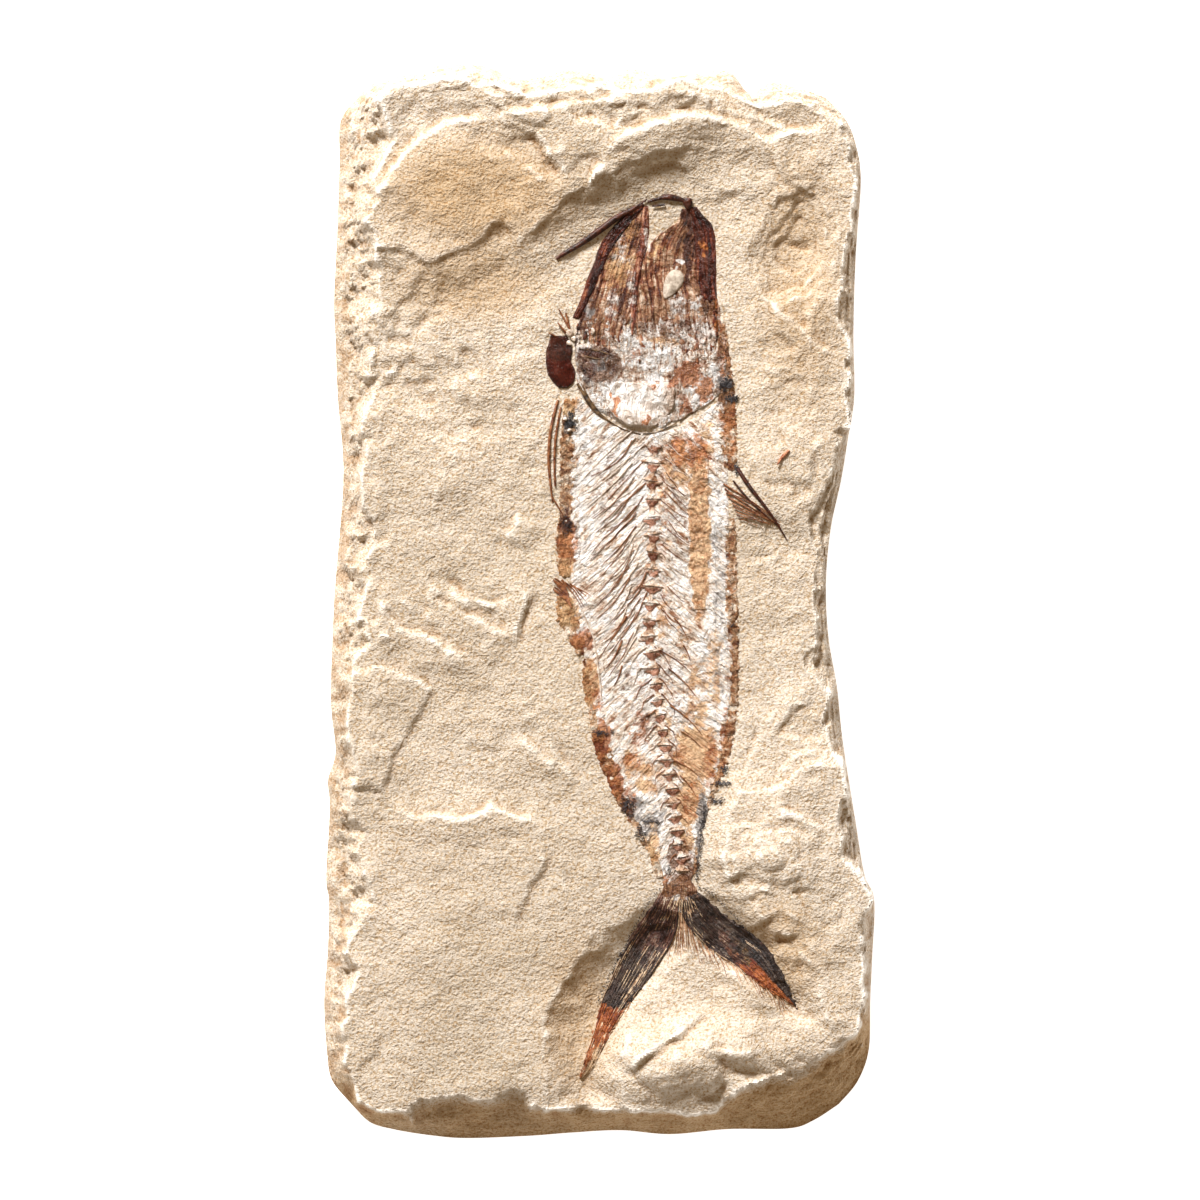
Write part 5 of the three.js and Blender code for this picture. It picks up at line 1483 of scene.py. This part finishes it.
# %% [markdown]
# Single rays stand out from the film, dark ones along both lobes and bare tan ones in bundles. They follow
# their lobe, so each is read off the lobe's rows.

# %% Single rays of the lobes
LOBE_STATIONS = 200  # points along a lobe


def lobe_rays(rows, count, spans, radius, lift):
    """Rays that follow a lobe towards its tip: each starts at random inside a span of v."""
    path = curve_through(rows, LOBE_STATIONS)
    for k in range(count):
        u = chance.uniform(0.08, 0.92)
        start = chance.uniform(*spans)
        v = np.linspace(start, min(0.97, start + chance.uniform(0.08, 0.3)), 6)
        lx, ly, rx, ry = (np.interp(v, np.linspace(0, 1, LOBE_STATIONS), path[:, c]) for c in range(4))
        x, y = lx + (rx - lx) * u, ly + (ry - ly) * u
        yield [(x[n], y[n], radius * (1 - 0.12 * n), lift) for n in range(6)]


LEFT, RIGHT = TAIL["tail_lobe_left"], TAIL["tail_lobe_right"]
dark_rays = [*lobe_rays(LEFT, 60, (0.05, 0.42), 0.2, 0.5), *lobe_rays(RIGHT, 90, (0.05, 0.45), 0.2, 0.5)]
lay_rods("tail_dark_rays", [], "black_fin", coated_rays, dark_rays)
tan_rays = [*lobe_rays(LEFT, 22, (0.22, 0.42), 0.15, 0.56), *lobe_rays(LEFT, 10, (0.68, 0.85), 0.13, 0.5),
            *lobe_rays(RIGHT, 9, (0.1, 0.4), 0.13, 0.56)]
tan_rays += [waved(20.3 + 0.5 * k, -83.0 + 0.6 * math.sin(2 * k), 12.5 + 1.75 * k, -97 - 0.6 * math.sin(3 * k),
                   0.17, 0.07, 0.0, (0.6, 0.3), 0.5, 100 + k) for k in range(13)]
lay_rods("tail_pale_rays", [], "pale_bone", tan_fin_rays, tan_rays)

# %% [markdown]
# Where the fin tore, its rays fan out over the stone and sink into it: between the lobes, and along the
# torn edge of each. The node of the middle rays stands for all three groups.

# %% The frayed rays
fringe = []
for k in range(34):  # rays between the lobes, fading into the stone
    share = k / 33
    x0, y0 = 19.5 + 7 * share, -84 - 3 * math.sin(math.pi * share)
    reach = 15 + 9 * abs(share - 0.5) + chance.uniform(-4, 3)
    lean = math.radians(-118 + 64 * share)
    x1, y1 = x0 + reach * math.cos(lean), y0 + reach * math.sin(lean)
    fringe.append(waved(x0, y0, x1, y1, 0.22, 0.06, 0.0, (0.3, -0.15), 0.5, k))
for k in range(26):  # rays that fray out of the left lobe
    share = k / 25
    x0, y0 = 19.0 - 17.5 * share, -95 - 28 * share
    x1, y1 = x0 - 1.5 - 1.5 * share, y0 - chance.uniform(2, 6)
    fringe.append(waved(x0, y0, x1, y1, 0.18, 0.06, 0.0, (0.35, -0.1), 0.4, 40 + k))
for k in range(30):  # and of the right one
    share = k / 29
    x0, y0 = 27.5 + 25 * share, -94.5 - 17 * share
    x1, y1 = x0 + 2.5, y0 - chance.uniform(2, 7)
    fringe.append(waved(x0, y0, x1, y1, 0.18, 0.06, 0.0, (0.35, -0.1), 0.4, 70 + k))
lay_rods("tail_middle_rays", ["tail_middle_rays"], "brown_bone", frayed_rays, fringe)

# %% [markdown]
# One red fleck of bone lies apart from the fish, to the right of its back.

# %% The loose fleck
lay_rods("loose_fleck", [], "brown_bone", red_fleck, [
    [(50.0, 38.8, 0.25, 0.2), (51.6, 40.6, 0.55, 0.25), (53.0, 42.0, 0.3, 0.2)],
    waved(49.6, 38.0, 50.8, 39.6, 0.25, 0.15)])

# %% [markdown]
# Dendrites are crystals of manganese oxide that grow in cracks, like frost. Here they follow the edge of the
# fish. At this size they are tufts of short needles, each needle three faces round, all in one mesh.

# %% Dendrites
def tuft(cx, cy, across, along, count, reach=0.9):
    """Short needles scattered round a middle, denser inside."""
    for _ in range(count):
        x0, y0 = cx + across * chance.normal() * 0.36, cy + along * chance.normal() * 0.36
        lean, far = chance.uniform(0, 2 * math.pi), reach * chance.uniform(0.4, 1.2)
        yield waved(x0, y0, x0 + far * math.cos(lean), y0 + far * math.sin(lean), 0.11, 0.06, 0.0, (0.55, 0.55))


TUFTS = [  # centre, half sizes, count
    (35.2, 60.5, 2.6, 2.6, 90), (37.2, 56.4, 2.4, 1.2, 50), (38.4, 36.5, 0.9, 2.2, 36),
    (1.0, -36.6, 3.8, 0.6, 34),
    (34, -50.6, 4.2, 0.8, 44), (14, -61.4, 3.6, 0.5, 24), (32.4, -55.6, 3, 1.2, 34),
    (34.9, -46.8, 1.4, 1.2, 26),
    (8.4, -56.4, 2.8, 3, 46), (11.6, -64.8, 2.6, 3, 36), (-8.0, 49.3, 2.2, 1.4, 60),
    (-7.6, 51.6, 1.2, 1.4, 20),
    (-8.6, 21, 2.6, 4, 24), (37.2, -6.6, 0.5, 0.5, 10), (19, -75, 2, 2, 10),
]
needles = []
for spot in TUFTS:
    needles += tuft(*spot)
for k in range(60):  # the dotted edge in front of the tail, on the back side
    y0 = -57 - 21 * k / 59
    needles += tuft(29.4 - 2.3 * k / 59, y0, 0.7, 0.5, 2, 0.6)
for k in range(90):  # the outer edges of the tail lobes
    share = k / 89
    left = (17.0 - 17.5 * share ** 0.85, -80 - 32 * share)
    right = (27.5 + 28 * share, -79.5 - 32 * share ** 1.35)
    needles += [*tuft(*left, 0.35, 0.35, 1, 0.6), *tuft(*right, 0.35, 0.35, 1, 0.6)]
lay_rods("dendrite_needles", [], "black_fin", dendrites, needles, points=3)

# %% [markdown]
# ## Camera, light and floor
# The slab lies on white paper and the camera looks straight down from far off, so its sides hardly show. The
# lens follows from the width that has to fit in the frame. One soft lamp stands low beyond the head, so each
# step in the stone throws a shadow towards the tail, and a warm sky fills the shadows.

# %% Camera, straight above the slab
VIEW_WIDTH, CAMERA_HEIGHT, SENSOR = 335.2, 4000.0, 36.0
MIDDLE = (0.3 * MM, 0.3 * MM)
camera = bpy.data.objects.new("camera", bpy.data.cameras.new("camera"))
bpy.context.scene.collection.objects.link(camera)
camera.location = (*MIDDLE, CAMERA_HEIGHT * MM)
camera.data.sensor_width = SENSOR
camera.data.lens = SENSOR * (CAMERA_HEIGHT - WAIST) / VIEW_WIDTH
camera.data.clip_end = 10
bpy.context.scene.camera = camera
print("lens", round(camera.data.lens, 1), "mm")

# %% Light
LAMP_PLACE, LAMP_SIZE, LAMP_POWER = (-1.05, 2.6, 1.8), 0.85, 232  # metres, metres, watts
SKY_STRENGTH = 0.31

light = bpy.data.lights.new("key_light", "AREA")
light.shape, light.size, light.energy, light.color = "DISK", LAMP_SIZE, LAMP_POWER, linear("#fffdfb")[:3]
lamp = bpy.data.objects.new("key_light", light)
lamp.location = LAMP_PLACE
lamp.rotation_mode = "QUATERNION"
lamp.rotation_quaternion = (-lamp.location).to_track_quat("-Z", "Y")
bpy.context.scene.collection.objects.link(lamp)

world = bpy.data.worlds.new("studio")
world.use_nodes = True
sky = world.node_tree.nodes["Background"]
sky.inputs["Color"].default_value = linear("#ffe0ba")
sky.inputs["Strength"].default_value = SKY_STRENGTH
bpy.context.scene.world = world
bpy.context.scene.view_settings.view_transform = "Standard"
print("lamp", round(lamp.location.length, 2), "m away")

# %% Floor
FLOOR_SIZE = 8  # metres

start_clean()
bpy.ops.mesh.primitive_plane_add(size=FLOOR_SIZE)
floor = bpy.context.object
floor.name = "floor"
# Paper: matt white fibre, lit from below so that it stays white round the shadow
paper, tree = new_material("white_paper")
paper_face = add(tree, "BsdfPrincipled", Base_Color=linear("#e8e8e8"), Roughness=0.9,
                 Emission_Color=linear("#ffffff"), Emission_Strength=0.9)
add(tree, "OutputMaterial", Surface=paper_face.outputs["BSDF"])
floor.data.materials.append(paper)
